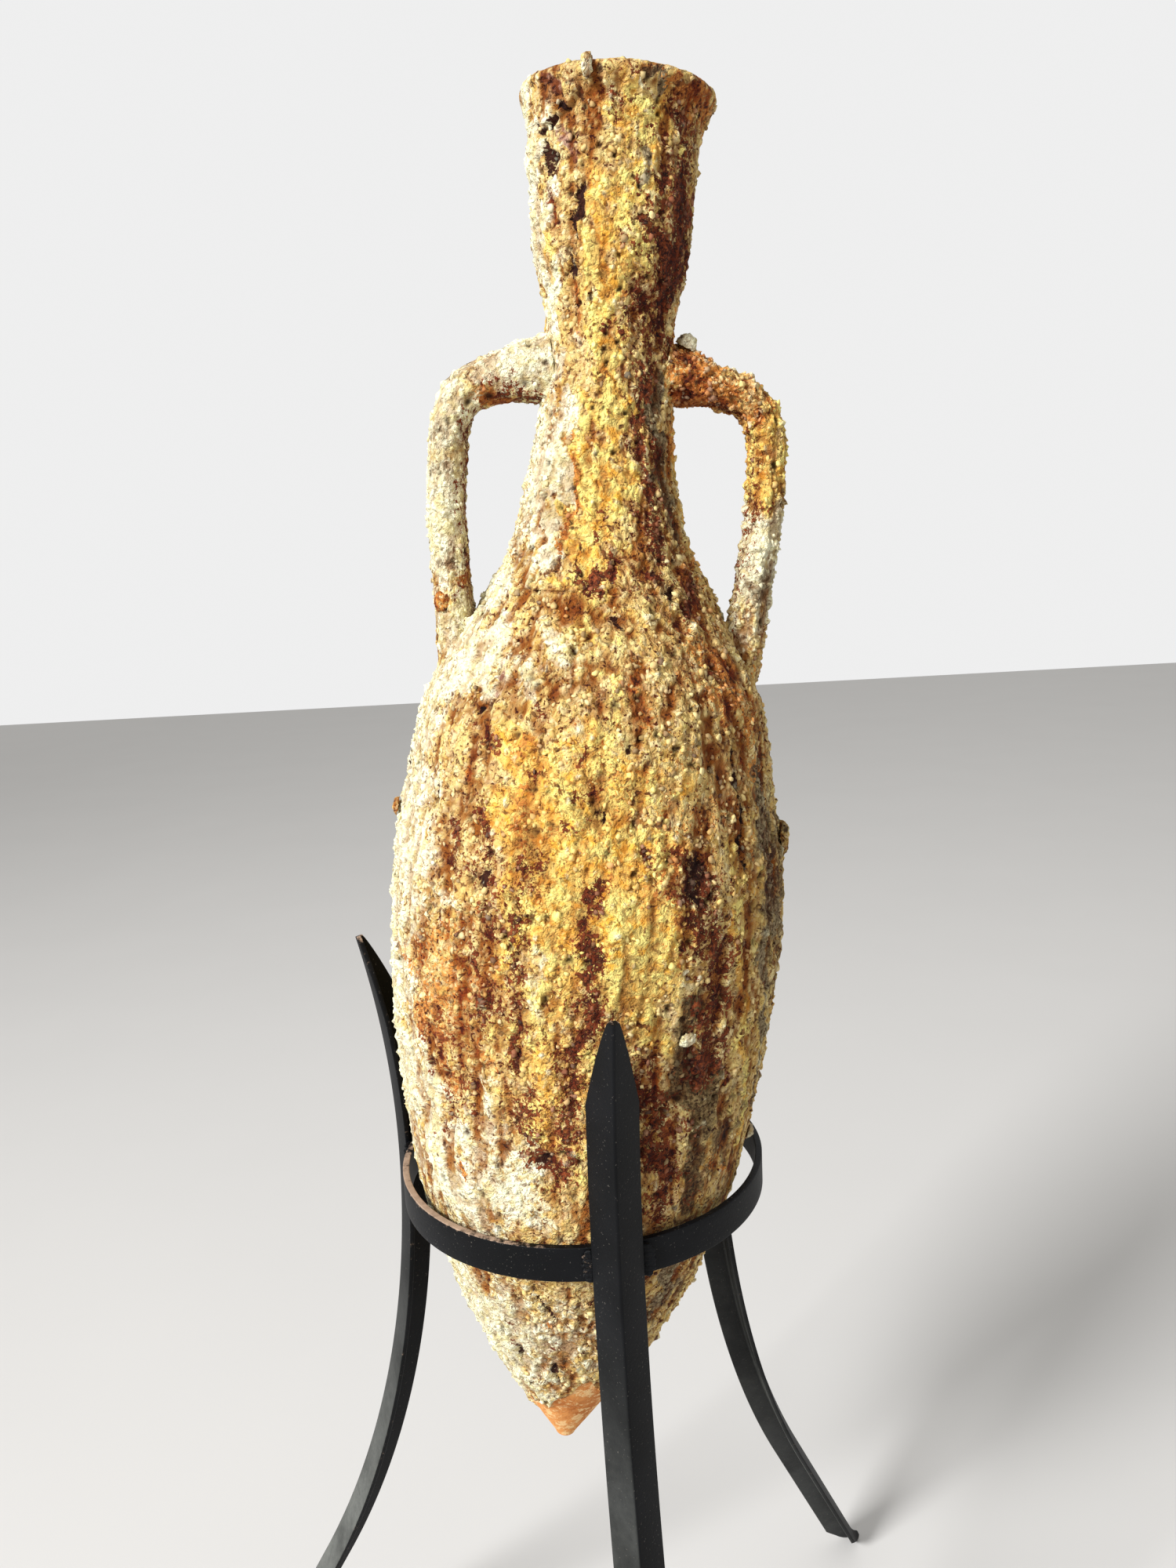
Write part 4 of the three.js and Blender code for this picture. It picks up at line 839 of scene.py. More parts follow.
# Sizes in metres. The spread is a share, and the crumbs are counted on a square metre.
CRUST_SIZES = {
    "Swell Size": 0.026, "Swell Height": 0.0012, "Run Width": 0.013, "Run Length": 0.075,
    "Run Height": 0.0027, "Lump Size": 0.0085, "Lump Height": 0.0030, "Grain Size": 0.0044,
    "Grain Height": 0.0017, "Pit Size": 0.013, "Pit Depth": 0.0032, "Mean Height": 0.0017,
}
CRUMB_SIZES = {"Crumb Size": 0.0027, "Size Spread": 0.6, "Crumbs Per Area": 46000.0, "Clump Size": 0.016}
CRUST_SEED, CRUMB_SEED, SQUASH_SEED, TILT_SEED = 3, 5, 17, 29
# The least and the most that a crumb is squashed and tilted, and the dents in it
CRUMB_SQUASH = ((0.6, 0.6, 0.4), (1.5, 1.5, 1.0))
CRUMB_TILT = ((-0.4, -0.4, 0), (0.4, 0.4, 6.28))
DENT_FINENESS, DENT_DEPTH = 620.0, 0.0034


def crust_tree():
    """Geometry Nodes that raise a granular crust of growth on a skin, with lumps, runs and pits."""
    tree, given = new_tree("Crust", CRUST_SIZES, CRUST_SEED)
    spread = result(tree, "ShaderNodeCombineXYZ", 0, {"X": given["Seed"], "Y": given["Seed"]})
    place = vector_calc(tree, "ADD", kept(tree, "place", "FLOAT_VECTOR"), spread)
    swell = (noise(tree, place, given["Swell Size"]) - 0.5) * 2.0 * given["Swell Height"]
    across, along = 1.0 / given["Run Width"], 1.0 / given["Run Length"]
    stretch = result(tree, "ShaderNodeCombineXYZ", 0, {"X": across, "Y": across, "Z": along})
    run = (noise(tree, vector_calc(tree, "MULTIPLY", place, stretch), 1.0, warp=0.4) - 0.5) * 2.6

    bent = warped(tree, place, 90.0, 0.006)
    from_lump, _ = cells(tree, bent, given["Lump Size"], smoothness=0.3)
    often = noise(tree, place, 0.024, detail=1.0).step(0.38, 0.62, 0.2, 1.0)
    lump = from_lump.step(0.05, 0.62, 1.0, 0.0) * often
    from_grain, _ = cells(tree, bent, given["Grain Size"], smoothness=0.15)
    grain = from_grain.step(0.0, 0.6, 1.0, 0.0)
    from_pit, chance = cells(tree, bent, given["Pit Size"])
    pit = from_pit.step(0.10, 0.30, 1.0, 0.0) * chance.step(0.52, 0.62)

    height = run * given["Run Height"] + lump * given["Lump Height"] + grain * given["Grain Height"]
    total = height - pit * given["Pit Depth"] + swell - given["Mean Height"]
    total = total * kept(tree, "rough") + kept(tree, "relief")
    offset = scaled(tree, kept(tree, "outwards", "FLOAT_VECTOR"), total)
    moved = result(tree, "GeometryNodeSetPosition", 0, {"Geometry": given["Geometry"], "Offset": offset})
    top = given["Run Height"] + given["Lump Height"] + given["Grain Height"]
    # The crust's height, pits and runs are kept for the clay, which paints shade in its low places, pits and
    # grooves and a highlight on its raised grains.
    moved = keep(tree, moved, height=(height / top).step(-0.3, 0.9), pit=pit, run=run)
    return end_tree(tree, moved, given["Finish"])


def crumb_tree():
    """Geometry Nodes that scatter crumbs of growth over a skin, as small faceted lumps sunk into it."""
    tree, given = new_tree("Crumbs", CRUMB_SIZES, CRUMB_SEED)
    clump = noise(tree, kept(tree, "place", "FLOAT_VECTOR"), given["Clump Size"]).step(0.44, 0.66)
    density = clump * given["Crumbs Per Area"] * kept(tree, "crumbly")
    inputs = {"Mesh": given["Geometry"], "Density": density, "Seed": given["Seed"]}
    scattered = add(tree, "GeometryNodeDistributePointsOnFaces", inputs, distribute_method="RANDOM").outputs

    ball = result(tree, "GeometryNodeMeshIcoSphere", "Mesh", {"Radius": 1.0, "Subdivisions": 1})
    where = result(tree, "GeometryNodeInputPosition", 0, {})
    # How far up its crumb a point is, read by the clay for a painted highlight on the crumbs' outer sides.
    lift = separated(tree, where, 2).step(-0.5, 1.0)
    ball = keep(tree, ball, lift=lift)

    spread = given["Size Spread"]
    width = random_value(tree, "FLOAT", 1.0 - spread, spread + 1.0, given["Seed"])
    squash = random_value(tree, "FLOAT_VECTOR", *CRUMB_SQUASH, SQUASH_SEED)
    size = scaled(tree, squash, width * given["Crumb Size"] * 0.5)
    inputs = {
        "Points": scattered["Points"], "Instance": ball, "Rotation": scattered["Rotation"], "Scale": size,
    }
    crumbs = result(tree, "GeometryNodeInstanceOnPoints", 0, inputs)
    tilt = random_value(tree, "FLOAT_VECTOR", *CRUMB_TILT, TILT_SEED)
    crumbs = result(tree, "GeometryNodeRotateInstances", 0, {"Instances": crumbs, "Rotation": tilt})
    real = result(tree, "GeometryNodeRealizeInstances", 0, {"Geometry": crumbs})
    inputs = {"Vector": where, "Scale": DENT_FINENESS, "Detail": 1.0}
    dent = result(tree, "ShaderNodeTexNoise", "Color", inputs)
    dent = vector_calc(tree, "SUBTRACT", dent, (0.5, 0.5, 0.5))
    dent = vector_calc(tree, "MULTIPLY", dent, (DENT_DEPTH, DENT_DEPTH, DENT_DEPTH))
    real = result(tree, "GeometryNodeSetPosition", 0, {"Geometry": real, "Offset": dent})
    smooth = result(tree, "GeometryNodeSetShadeSmooth", 0, {"Geometry": real})
    return end_tree(tree, smooth, given["Finish"])


def crumbs_over(piece, name, node):
    """The crumbs that lie on a crusted piece, as a piece of their own."""
    crumbs = through_tree(new_object(name, piece.data.copy()), CRUMBS, finish=piece.data.materials[0])
    return finished(crumbs, "jar", node)


def jar_piece(name, rows, outwards, inner, ends, finish, **sizes):
    """A crusted piece of the jar from rows of points round its axis."""
    count, columns = rows.shape[:2]

    def with_middles(values):
        first, last = values[:columns].mean(axis=0), values[-columns:].mean(axis=0)
        return np.concatenate([values, np.stack([first, last])]) if ends == "pointed" else values

    attributes = skin_attributes(rows, outwards, inner)
    attributes = {key: with_middles(values) for key, values in attributes.items()}
    points = with_middles(in_the_stand(rows.reshape(-1, 3)))
    piece = new_piece(name, points, tube_faces(count, columns, ends), attributes)
    return through_tree(piece, CRUST, finish=finish, **sizes)


def make_body(finish):
    outside = evenly_spaced(smooth_line(BODY_OUTLINE, BODY_STEPS), BODY_ROWS)
    inside = evenly_spaced(smooth_line(BODY_HOLLOW, HOLLOW_STEPS)[::-1], HOLLOW_ROWS)[:-1]
    rows, outwards = turned_rows(outside, BODY_COLUMNS, 1)
    hollow, _ = turned_rows(inside, BODY_COLUMNS, 0)
    inner = np.concatenate([np.zeros(rows.shape[:2]), np.ones(hollow.shape[:2])])
    outwards = np.concatenate([outwards, np.zeros_like(hollow)])
    rows = np.concatenate([rows, hollow])
    piece = jar_piece("body_crust", rows, outwards, inner, "pointed", finish)
    keep_inside_ring(piece)
    return finished(piece, "jar", "body")


def make_neck(finish):
    outside = softened(evenly_spaced(np.array(NECK_OUTLINE, float), NECK_STEPS), NECK_SOFTENINGS)
    outside = evenly_spaced(outside, NECK_ROWS)
    lip = smooth_line(LIP_OUTLINE, LIP_ROWS)[1:-1]
    bore = softened(evenly_spaced(np.array(NECK_BORE, float), BORE_STEPS), BORE_SOFTENINGS)
    bore = evenly_spaced(bore, BORE_ROWS)
    profile = np.vstack([outside, lip, bore])
    order = np.arange(len(profile))
    rows, outwards = turned_rows(profile, NECK_COLUMNS, (order < len(outside)).astype(float)[:, None])
    lip_middle = len(outside) + len(lip) // 2
    inner = np.broadcast_to(soft(order - lip_middle, 0, INSIDE_FADE_ROWS)[:, None], rows.shape[:2])
    piece = jar_piece("neck_crust", rows, outwards, inner, "joined", finish, pit_size=NECK_PIT_SIZE)
    return finished(piece, "jar", "neck_and_mouth")


def make_toe(finish):
    profile = evenly_spaced(smooth_line(TOE_OUTLINE, TOE_STEPS), TOE_ROWS)[1:]
    rows, outwards = turned_rows(profile, TOE_COLUMNS, 1)
    piece = jar_piece("toe_of_the_jar", rows, outwards, np.zeros(rows.shape[:2]), "pointed", finish)
    return finished(piece, "jar", "toe")


def softened(points, passes):
    points = points.copy()
    for _ in range(passes):
        points[1:-1] = (points[:-2] + 2 * points[1:-1] + points[2:]) / 4
    return points


def keep_inside_ring(piece):
    """Where the jar sits in the ring, the crust is worn back to the ring's inside."""
    points = read_points(piece.data)
    aside = points[:, :2] - RING_MIDDLE
    height, bottom = points[:, 2], RING_TOP - RING_HEIGHT
    near, far = SEAT_FADE
    at_ring = soft(height, bottom - far, bottom - near) * (1 - soft(height, RING_TOP + near, RING_TOP + far))
    most = RING_INNER - SEAT_CLEARANCE + FREE_OF_RING * (1 - at_ring)
    share = np.minimum(1, most / np.maximum(np.hypot(*aside.T), 1))
    points[:, :2] = RING_MIDDLE + aside * share[:, None]
    move_points(piece.data, points)


# Lumps, shells and welds

# Each growth's slot, the size of its grid and its tints
GROWTHS = {
    "lump_on_rim": ("crust_lump", 1.1, {"cream": 0.6}),
    "lump_left_side": ("crust_lump", 1.3, {"rust": 0.4, "cream": 0.3}),
    "lump_right_side": ("crust_lump", 1.3, {"olive": 0.5}),
    "lump_on_handle": ("crust_lump", 1.0, {"rust": 0.7}),
    "shell_on_belly": ("shell", 0.8, {"cream": 0.8}),
    "lump_above_ring": ("shell", 0.8, {"cream": 0.9}),
    "shell_by_handle": ("shell", 0.8, {"cream": 1.1}),
}
GROWTH_CRUST = {
    "lump_size": 0.006, "lump_height": 0.0016, "grain_size": 0.003, "grain_height": 0.0014,
    "pit_depth": 0.001,
}
GROWTH_ROUGHNESS = 0.55
SAME_PLACE = 1e-6
SMOOTHINGS = 4
WELD_VOXEL = 0.7
RIPPLE_HEIGHT, RIPPLE_PITCH, SPATTER_HEIGHT = 0.35, 0.55, 0.25
WELD_WEAR, WORN_WELDS = 0.12, {"weld_front_left": 0.45}


def fine_copy(name, new_name, voxel):
    """A closed copy of a CAD node's mesh, cut fine enough to be roughened."""
    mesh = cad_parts[name].data.copy()
    work = bmesh.new()
    work.from_mesh(mesh)
    bmesh.ops.remove_doubles(work, verts=work.verts, dist=SAME_PLACE)
    work.to_mesh(mesh)
    work.free()
    piece = new_object(new_name, mesh)
    remesh = piece.modifiers.new("fine", "REMESH")
    remesh.mode, remesh.voxel_size, remesh.use_smooth_shade = "VOXEL", voxel * MM, True
    piece.modifiers.new("smooth", "SMOOTH").iterations = SMOOTHINGS
    return made_plain(piece)


def make_growth(name, finish):
    slot, voxel, tints = GROWTHS[name]
    piece = fine_copy(name, name + "_crusted", voxel)
    points = read_points(piece.data)
    even = np.ones(len(points))
    store(piece.data, {
        "place": in_the_jar(points) * MM,
        "outwards": read_points(piece.data, "normal"),
        "relief": 0 * even,
        "rough": GROWTH_ROUGHNESS * even,
        "crusted": even,
        "inside": 0 * even,
        **{key: even * tints.get(key, 0.0) for key in MARKS},
    })
    through_tree(piece, CRUST, finish=finish, **GROWTH_CRUST)
    return finished(piece, "jar", name)


def make_weld(name, finish):
    piece = fine_copy(name, name + "_bead", WELD_VOXEL)
    points, outwards = read_points(piece.data), read_points(piece.data, "normal")
    x, y, z = points.T
    ripple = RIPPLE_HEIGHT * np.sin(z / RIPPLE_PITCH) * np.abs(outwards[:, 0] + outwards[:, 1])
    spatter = SPATTER_HEIGHT * np.sin(x * 2.1 + 3 * np.sin(z * 0.9)) * np.sin(y * 1.7)
    store(piece.data, {"wear": np.full(len(points), WORN_WELDS.get(name, WELD_WEAR))})
    move_points(piece.data, points + outwards * (ripple + spatter)[:, None])
    piece.data.materials.clear()
    piece.data.materials.append(finish)
    return finished(piece, "stand", name)


# The two handles

HANDLE_THICKNESS = 26.0
HANDLE_DEPTH = 36.0
HANDLE_LINE = [
    (0.335, 1), (0.66, 0.967), (0.895, 0.913), (0.977, 0.822), (0.995, 0.683), (1, 0.548),
    (0.975, 0.413), (0.953, 0.293), (0.925, 0.15), (0.88, 0),
]
# How thick and how deep the section is along each handle. The first shares of the thickness, near the
# neck, are each handle's own.
THICKNESS_SHARES = [1, 1, 1, 1, 1, 1.06, 1.2]
DEPTH_SHARES = [1.2, 1.05, 1, 1, 1, 1, 1, 1, 1.1, 1.25]
# The brown on each handle's faces turned to the jar is painted shade; underside is how much of the rust and
# brown is kept off the outer faces.
HANDLES = {
    "handle_left": {
        "side": -1, "reach": 107.5, "head": 580, "foot": 372, "near_neck": [1.75, 1.25, 1.08],
        "painted_inner_shade": 0.5, "underside": 1.0, "crumbly": 0.5, "rough": 0.5,
    },
    "handle_right": {
        "side": 1, "reach": 114, "head": 579, "foot": 374, "near_neck": [1.6, 1.02, 0.96],
        "painted_inner_shade": 0.42, "underside": 0.3, "crumbly": 1.3, "rough": 0.95,
    },
}
HANDLE_ROWS, HANDLE_COLUMNS = 330, 150
BURIED = 5.0
HANDLE_CRUST = {"lump_size": 0.008, "grain_size": 0.004, "lump_height": 0.0034}
# How square the section is, and how far its outer edge and its two sides bulge
SQUARENESS, OUTER_RIDGE, SIDE_BULGE = 0.35, 0.14, 0.1

# Patches along each handle: (share from the neck to the shoulder, half length, strength)
HANDLE_FINISHES = {
    "handle_left": {
        "cream": [(0.05, 0.14, 0.9), (0.3, 0.18, 0.95), (0.55, 0.24, 0.95), (0.86, 0.1, 0.8)],
        "rust": [(0.17, 0.07, 0.9), (0.765, 0.03, 0.7)],
        "brown": [(0.11, 0.06, 0.8), (0.79, 0.02, 0.6)],
        "grey": [(0.22, 0.1, 0.35), (0.4, 0.15, 0.42), (0.68, 0.08, 0.42)],
    },
    "handle_right": {
        "cream": [(0.4, 0.1, 0.4), (0.6, 0.1, 0.9), (0.72, 0.12, 0.75), (0.85, 0.1, 0.6)],
        "gold": [(0.13, 0.09, 0.35), (0.3, 0.12, 0.7), (0.44, 0.1, 0.85), (0.9, 0.06, 0.4)],
        "rust": [(0.07, 0.12, 1.0), (0.23, 0.09, 0.7), (0.97, 0.06, 0.6)],
        "brown": [(0.05, 0.05, 0.4), (0.5, 0.03, 0.5), (0.88, 0.02, 0.35)],
        "grey": [(0.75, 0.1, 0.5), (0.84, 0.05, 0.35)],
    },
}


def jar_radius(height):
    return np.where(height < NECK_FOOT, between(BODY_OUTLINE, height), between(NECK_OUTLINE, height))


def handle_rows(handle):
    """Rows of points round a handle's line, with the way out from its skin and the section's points."""
    side, head, foot = handle["side"], handle["head"], handle["foot"]
    line = [(side * out * handle["reach"], 0, foot + up * (head - foot)) for out, up in HANDLE_LINE]
    line = smooth_line(line, HANDLE_ROWS)
    at, stops = np.linspace(0, 1, HANDLE_ROWS + 1), np.linspace(0, 1, len(HANDLE_LINE))
    thick = np.interp(at, stops, handle["near_neck"] + THICKNESS_SHARES) * HANDLE_THICKNESS / 2
    deep = np.interp(at, stops, DEPTH_SHARES) * HANDLE_DEPTH / 2
    along = np.gradient(line, axis=0)
    along /= np.linalg.norm(along, axis=1)[:, None]
    depthways = np.array([0.0, -side, 0.0])
    outer = -np.cross(along, depthways)
    turn = np.linspace(0, 2 * math.pi, HANDLE_COLUMNS, endpoint=False)
    corner = np.maximum(abs(np.cos(turn)), abs(np.sin(turn))) ** SQUARENESS
    ridge = OUTER_RIDGE * np.maximum(0, np.cos(turn)) ** 6
    bulge = 1 + SIDE_BULGE * abs(np.sin(turn)) ** 8
    x, y = np.cos(turn) / corner + ridge, np.sin(turn) / corner * bulge
    aside = outer[:, None, :] * (x[None, :, None] * thick[:, None, None])
    aside = aside + depthways * (y[None, :, None] * deep[:, None, None])
    outwards = aside / (np.linalg.norm(aside, axis=2)[..., None] + 1e-9)
    return line[:, None, :] + aside, outwards, at, turn, x


def make_handle(name, finish):
    handle = HANDLES[name]
    rows, outwards, at, turn, x = handle_rows(handle)
    least = jar_radius(rows[..., 2]) - BURIED
    push = np.maximum(1, least / np.maximum(np.hypot(rows[..., 0], rows[..., 1]), 1))
    hidden = push > 1
    rows[..., :2] *= push[..., None]
    outwards[hidden] = 0

    flat = rows.reshape(-1, 3)
    where, around = np.repeat(at, HANDLE_COLUMNS), np.tile(turn, len(at))
    inwards = np.tile(-x, len(at))
    stray = 0.03 * np.sin(2 * around + 1) + 0.016 * np.sin(5 * around + 30 * where)
    masks = {}
    for key in MARKS:
        masks[key] = np.zeros(len(flat))
        for middle, half, strength in HANDLE_FINISHES[name].get(key, []):
            patch = strength * np.exp(-(((where + stray - middle) / half) ** 2))
            masks[key] = np.maximum(masks[key], patch)
        if key in ("rust", "brown"):
            masks[key] *= 1 - handle["underside"] * (1 - np.clip(0.35 + inwards, 0, 1))
    # Painted shade: the faces turned to the jar are painted brown.
    masks["brown"] = np.maximum(masks["brown"], handle["painted_inner_shade"] * np.maximum(0, inwards))
    even = np.ones(len(flat))
    attributes = {
        "place": flat * MM,
        "outwards": outwards.reshape(-1, 3) @ LEAN.T,
        "relief": 0 * even,
        "rough": handle["rough"] * even,
        "crumbly": np.where(hidden.ravel(), 0, handle["crumbly"]),
        "crusted": even,
        "inside": 0 * even,
        **masks,
    }
    faces = tube_faces(len(at), HANDLE_COLUMNS, "flat")
    piece = new_piece(name + "_crust", in_the_stand(flat), faces, attributes)
    through_tree(piece, CRUST, finish=finish, **HANDLE_CRUST)
    crumbs_over(piece, name + "_crumbs", name)
    return finished(piece, "jar", name)


# The stand

RING_EDGE = 0.7
RING_COLUMNS = 256
WORN_SIDE, WORN_HALF_ANGLE, WORN_LEAST = -152, 42, 0.3
WORN_FROM_TOP = (1.4, 0.1)

FLANGE_WIDTH, FLANGE_THICKNESS = 25.0, 4.0
HEEL_ROUND, ROOT_ROUND, EDGE_ROUND = 2.0, 2.5, 0.6
WAIST = RING_TOP - 10.0
PRONG_BEND, LEG_BEND, FOOT_BEND = 680.0, 850.0, 45.0
LEG_SPLAY, FOOT_ANGLE = math.radians(29.5), math.radians(56)
PRONG_POINT, FOOT_POINT, POINT_FLANGE, SOLE_DEPTH = 70.0, 36.0, 5.5, 1.2
CONTACT_GAP = 0.3
LEGS = {
    "front": {"azimuth": 7.4, "twist": 6.0, "rise": 174.0},
    "left": {"azimuth": -108.3, "twist": 2.5, "rise": 164.0},
    "right": {"azimuth": 133.4, "twist": -8.0, "rise": 168.0},
}
LEG_ROWS, POINT_ROWS = 260, 40
CREASE_ANGLE = math.radians(40)
# How the flanges narrow towards a point, and how worn the flanges' edges and the points are
POINT_TAPER = 0.85
EDGE_WEAR, EDGE_WEAR_FADE, POINT_WEAR, POINT_WEAR_REACH = 0.36, (0.93, 1.0), 0.45, 7
# The side that faces the key lamp, how squarely a face has to look that way, and where up the legs the pale
# tone stops. Near the feet the tone is dust, and kept to the faces turned to the lamp it is also painted
# light.
LAMP_SIDE = np.array([-0.72, -0.66, 0.22])
LAMP_SIDE_FADE = (0.35, 0.9)
DUST_AND_LIGHT_FADE = (60, 600.0)


def waist_radius(twist):
    """How far a leg's corner is from the stand's middle at its waist, where its flanges reach the ring."""
    near, far = math.pi / 4 - abs(twist), math.pi / 4 + abs(twist)
    aside = FLANGE_WIDTH * math.sin(near) - FLANGE_THICKNESS * math.sin(far)
    inwards = FLANGE_WIDTH * math.cos(near) + FLANGE_THICKNESS * math.cos(far)
    return math.sqrt((RING_OUTER + CONTACT_GAP) ** 2 - aside**2) + inwards


def leg_stations(waist, twist, rise):
    """The line of a leg's corner from the foot's end up: radius, height, slope, way walked, way left."""
    sole = POINT_FLANGE * math.cos(math.pi / 4 - abs(twist)) * math.sin(FOOT_ANGLE) - SOLE_DEPTH
    bend_drop = LEG_BEND * math.sin(LEG_SPLAY)
    foot_drop = FOOT_BEND * (math.sin(FOOT_ANGLE) - math.sin(LEG_SPLAY))
    straight = (WAIST - bend_drop - foot_drop - sole) / math.cos(LEG_SPLAY)
    prong_angle = math.asin((rise + RING_TOP - WAIST) / PRONG_BEND)
    bend_length, prong_length = LEG_BEND * LEG_SPLAY, PRONG_BEND * prong_angle
    length = FOOT_BEND * (FOOT_ANGLE - LEG_SPLAY) + straight + bend_length + prong_length
    fine = np.concatenate([
        np.linspace(0, FOOT_POINT, POINT_ROWS),
        np.linspace(FOOT_POINT, length - PRONG_POINT, LEG_ROWS - 2 * POINT_ROWS)[1:],
        np.linspace(length - PRONG_POINT, length, POINT_ROWS + 1)[1:],
    ])
    stations = []
    for walked in fine:
        down = length - prong_length - walked
        if down <= 0:
            turn = -down / PRONG_BEND
            radius, height = waist + PRONG_BEND * (1 - math.cos(turn)), WAIST + PRONG_BEND * math.sin(turn)
            stations.append((radius, height, -turn, walked, length - walked))
            continue
        bend = min(down, bend_length) / LEG_BEND
        radius = waist + LEG_BEND * (1 - math.cos(bend))
        height = WAIST - LEG_BEND * math.sin(bend)
        run = min(max(down - bend_length, 0), straight)
        radius += run * math.sin(LEG_SPLAY)
        height -= run * math.cos(LEG_SPLAY)
        slope = bend + max(down - bend_length - straight, 0) / FOOT_BEND
        radius += FOOT_BEND * (math.cos(bend) - math.cos(slope))
        height -= FOOT_BEND * (math.sin(slope) - math.sin(bend))
        stations.append((radius, height, slope, walked, length - walked))
    return stations


def rounded_corner(at, start, end, radius, steps):
    """Points of a rounded corner at a place whose two sides leave towards start and end."""
    at, start, end = (np.array(p, float) for p in (at, start, end))
    one, other = (start - at) / np.linalg.norm(start - at), (end - at) / np.linalg.norm(end - at)
    middle = at + (one + other) * radius
    turns = np.linspace(0, math.pi / 2, steps)
    return [middle - other * radius * math.cos(t) - one * radius * math.sin(t) for t in turns]


def angle_section(flange):
    """The rounded angle section, as (along one flange, along the other) from its corner."""
    thick = FLANGE_THICKNESS
    root = min(ROOT_ROUND, (flange - thick) / 2)
    corners = [
        ((0, 0), (0, 1), (1, 0), HEEL_ROUND, 7),
        ((flange, 0), (0, 0), (flange, thick), EDGE_ROUND, 4),
        ((flange, thick), (flange, 0), (0, thick), EDGE_ROUND, 4),
        ((thick, thick), (flange, thick), (thick, flange), root, 6),
        ((thick, flange), (thick, 0), (0, flange), EDGE_ROUND, 4),
        ((0, flange), (thick, flange), (0, 0), EDGE_ROUND, 4),
    ]
    return np.array([point for corner in corners for point in rounded_corner(*corner)])


def steel_piece(name, points, faces, wear, finish):
    piece = new_piece(name, points, faces, {"wear": wear})
    piece.data.materials.append(finish)
    piece.data.set_sharp_from_angle(angle=CREASE_ANGLE)
    return piece


def make_leg(name, finish):
    leg = LEGS[name]
    twist, azimuth = math.radians(leg["twist"]), math.radians(leg["azimuth"])
    one_way, other_way = math.pi / 4 + twist, math.pi / 4 - twist
    sideways = np.array([1.0, 0, 0])
    rows, wear = [], []
    for radius, height, slope, walked, left in leg_stations(waist_radius(twist), twist, leg["rise"]):
        share = min(1, walked / FOOT_POINT, left / PRONG_POINT)
        flange = POINT_FLANGE + (FLANGE_WIDTH - POINT_FLANGE) * max(share, 0) ** POINT_TAPER
        inwards = np.array([0, math.cos(slope), -math.sin(slope)])
        one = inwards * math.cos(one_way) + sideways * math.sin(one_way)
        other = inwards * math.cos(other_way) - sideways * math.sin(other_way)
        section = angle_section(flange)
        rows.append(np.array([0, -radius, height]) + section[:, :1] * one + section[:, 1:] * other)
        edge = np.maximum(*(np.abs(section / max(flange, 1)).T))
        to_point = math.exp(-min(walked, left) / POINT_WEAR_REACH)
        wear.append(soft(edge, *EDGE_WEAR_FADE) * EDGE_WEAR + POINT_WEAR * to_point)
    rows = np.array(rows)
    x, y, z = rows.reshape(-1, 3).T
    c, s = math.cos(azimuth), math.sin(azimuth)
    x, y = c * x - s * y + RING_MIDDLE[0], s * x + c * y + RING_MIDDLE[1]
    turned = np.stack([x, y, np.maximum(z, 0)], axis=1)
    faces = tube_faces(*rows.shape[:2], "flat")
    piece = steel_piece("leg_" + name + "_painted", turned, faces, np.concatenate(wear), finish)
    # Faces turned to the key lamp get a pale tone near the feet: dust, and painted light on the lit side.
    toward_lamp = soft(read_points(piece.data, "normal") @ LAMP_SIDE, *LAMP_SIDE_FADE)
    store(piece.data, {"dust_and_painted_light": toward_lamp * (1 - soft(turned[:, 2], *DUST_AND_LIGHT_FADE))})
    return finished(piece, "stand", "leg_" + name)


def make_ring(finish):
    low, high = RING_TOP - RING_HEIGHT, RING_TOP
    corners = [(RING_INNER, low), (RING_OUTER, low), (RING_OUTER, high), (RING_INNER, high)]
    profile = []
    for i, corner in enumerate(corners):
        profile += rounded_corner(corner, corners[i - 1], corners[(i + 1) % 4], RING_EDGE, 5)
        if i in (1, 3):
            across = np.array(corners[(i + 1) % 4]) - np.array(corner)
            profile += [np.array(corner) + across * share for share in (0.25, 0.5, 0.75)]
    radius, height = np.array(profile).T[:, :, None]
    turn = np.linspace(-math.pi, math.pi, RING_COLUMNS, endpoint=False)
    x = RING_MIDDLE[0] + radius * np.cos(turn)
    y = RING_MIDDLE[1] + radius * np.sin(turn)
    points = np.stack([x, y, np.broadcast_to(height, x.shape)], axis=-1).reshape(-1, 3)
    aside = degrees_apart(np.degrees(turn), WORN_SIDE) / WORN_HALF_ANGLE
    worn_side = WORN_LEAST + (1 - WORN_LEAST) * np.exp(-(aside**2))
    starts, full = WORN_FROM_TOP
    wear = (soft(height, high - starts, high - full) * worn_side[None, :]).ravel()
    faces = tube_faces(len(profile), RING_COLUMNS, "joined")
    piece = steel_piece("ring_painted", points, faces, wear, finish)
    return finished(piece, "stand", "ring")


# The finishes of the clay, the steel and the floor

# How strongly the outer side of each crumb is painted paler than the crust it lies on, as a painted highlight
CRUMB_HIGHLIGHT = 0.2


def new_material(name):
    material = bpy.data.materials.new(name)
    material.use_nodes = True
    tree = material.node_tree
    return material, tree, tree.nodes["Principled BSDF"]


def dress(tree, shader, tone, roughness, specular=None):
    """Gives a shader its colour and roughness, and how strongly it shines."""
    tree.links.new(tone.socket, shader.inputs["Base Color"])
    if isinstance(roughness, Value):
        tree.links.new(roughness.socket, shader.inputs["Roughness"])
    else:
        shader.inputs["Roughness"].default_value = roughness
    if specular is not None:
        shader.inputs["Specular IOR Level"].default_value = specular


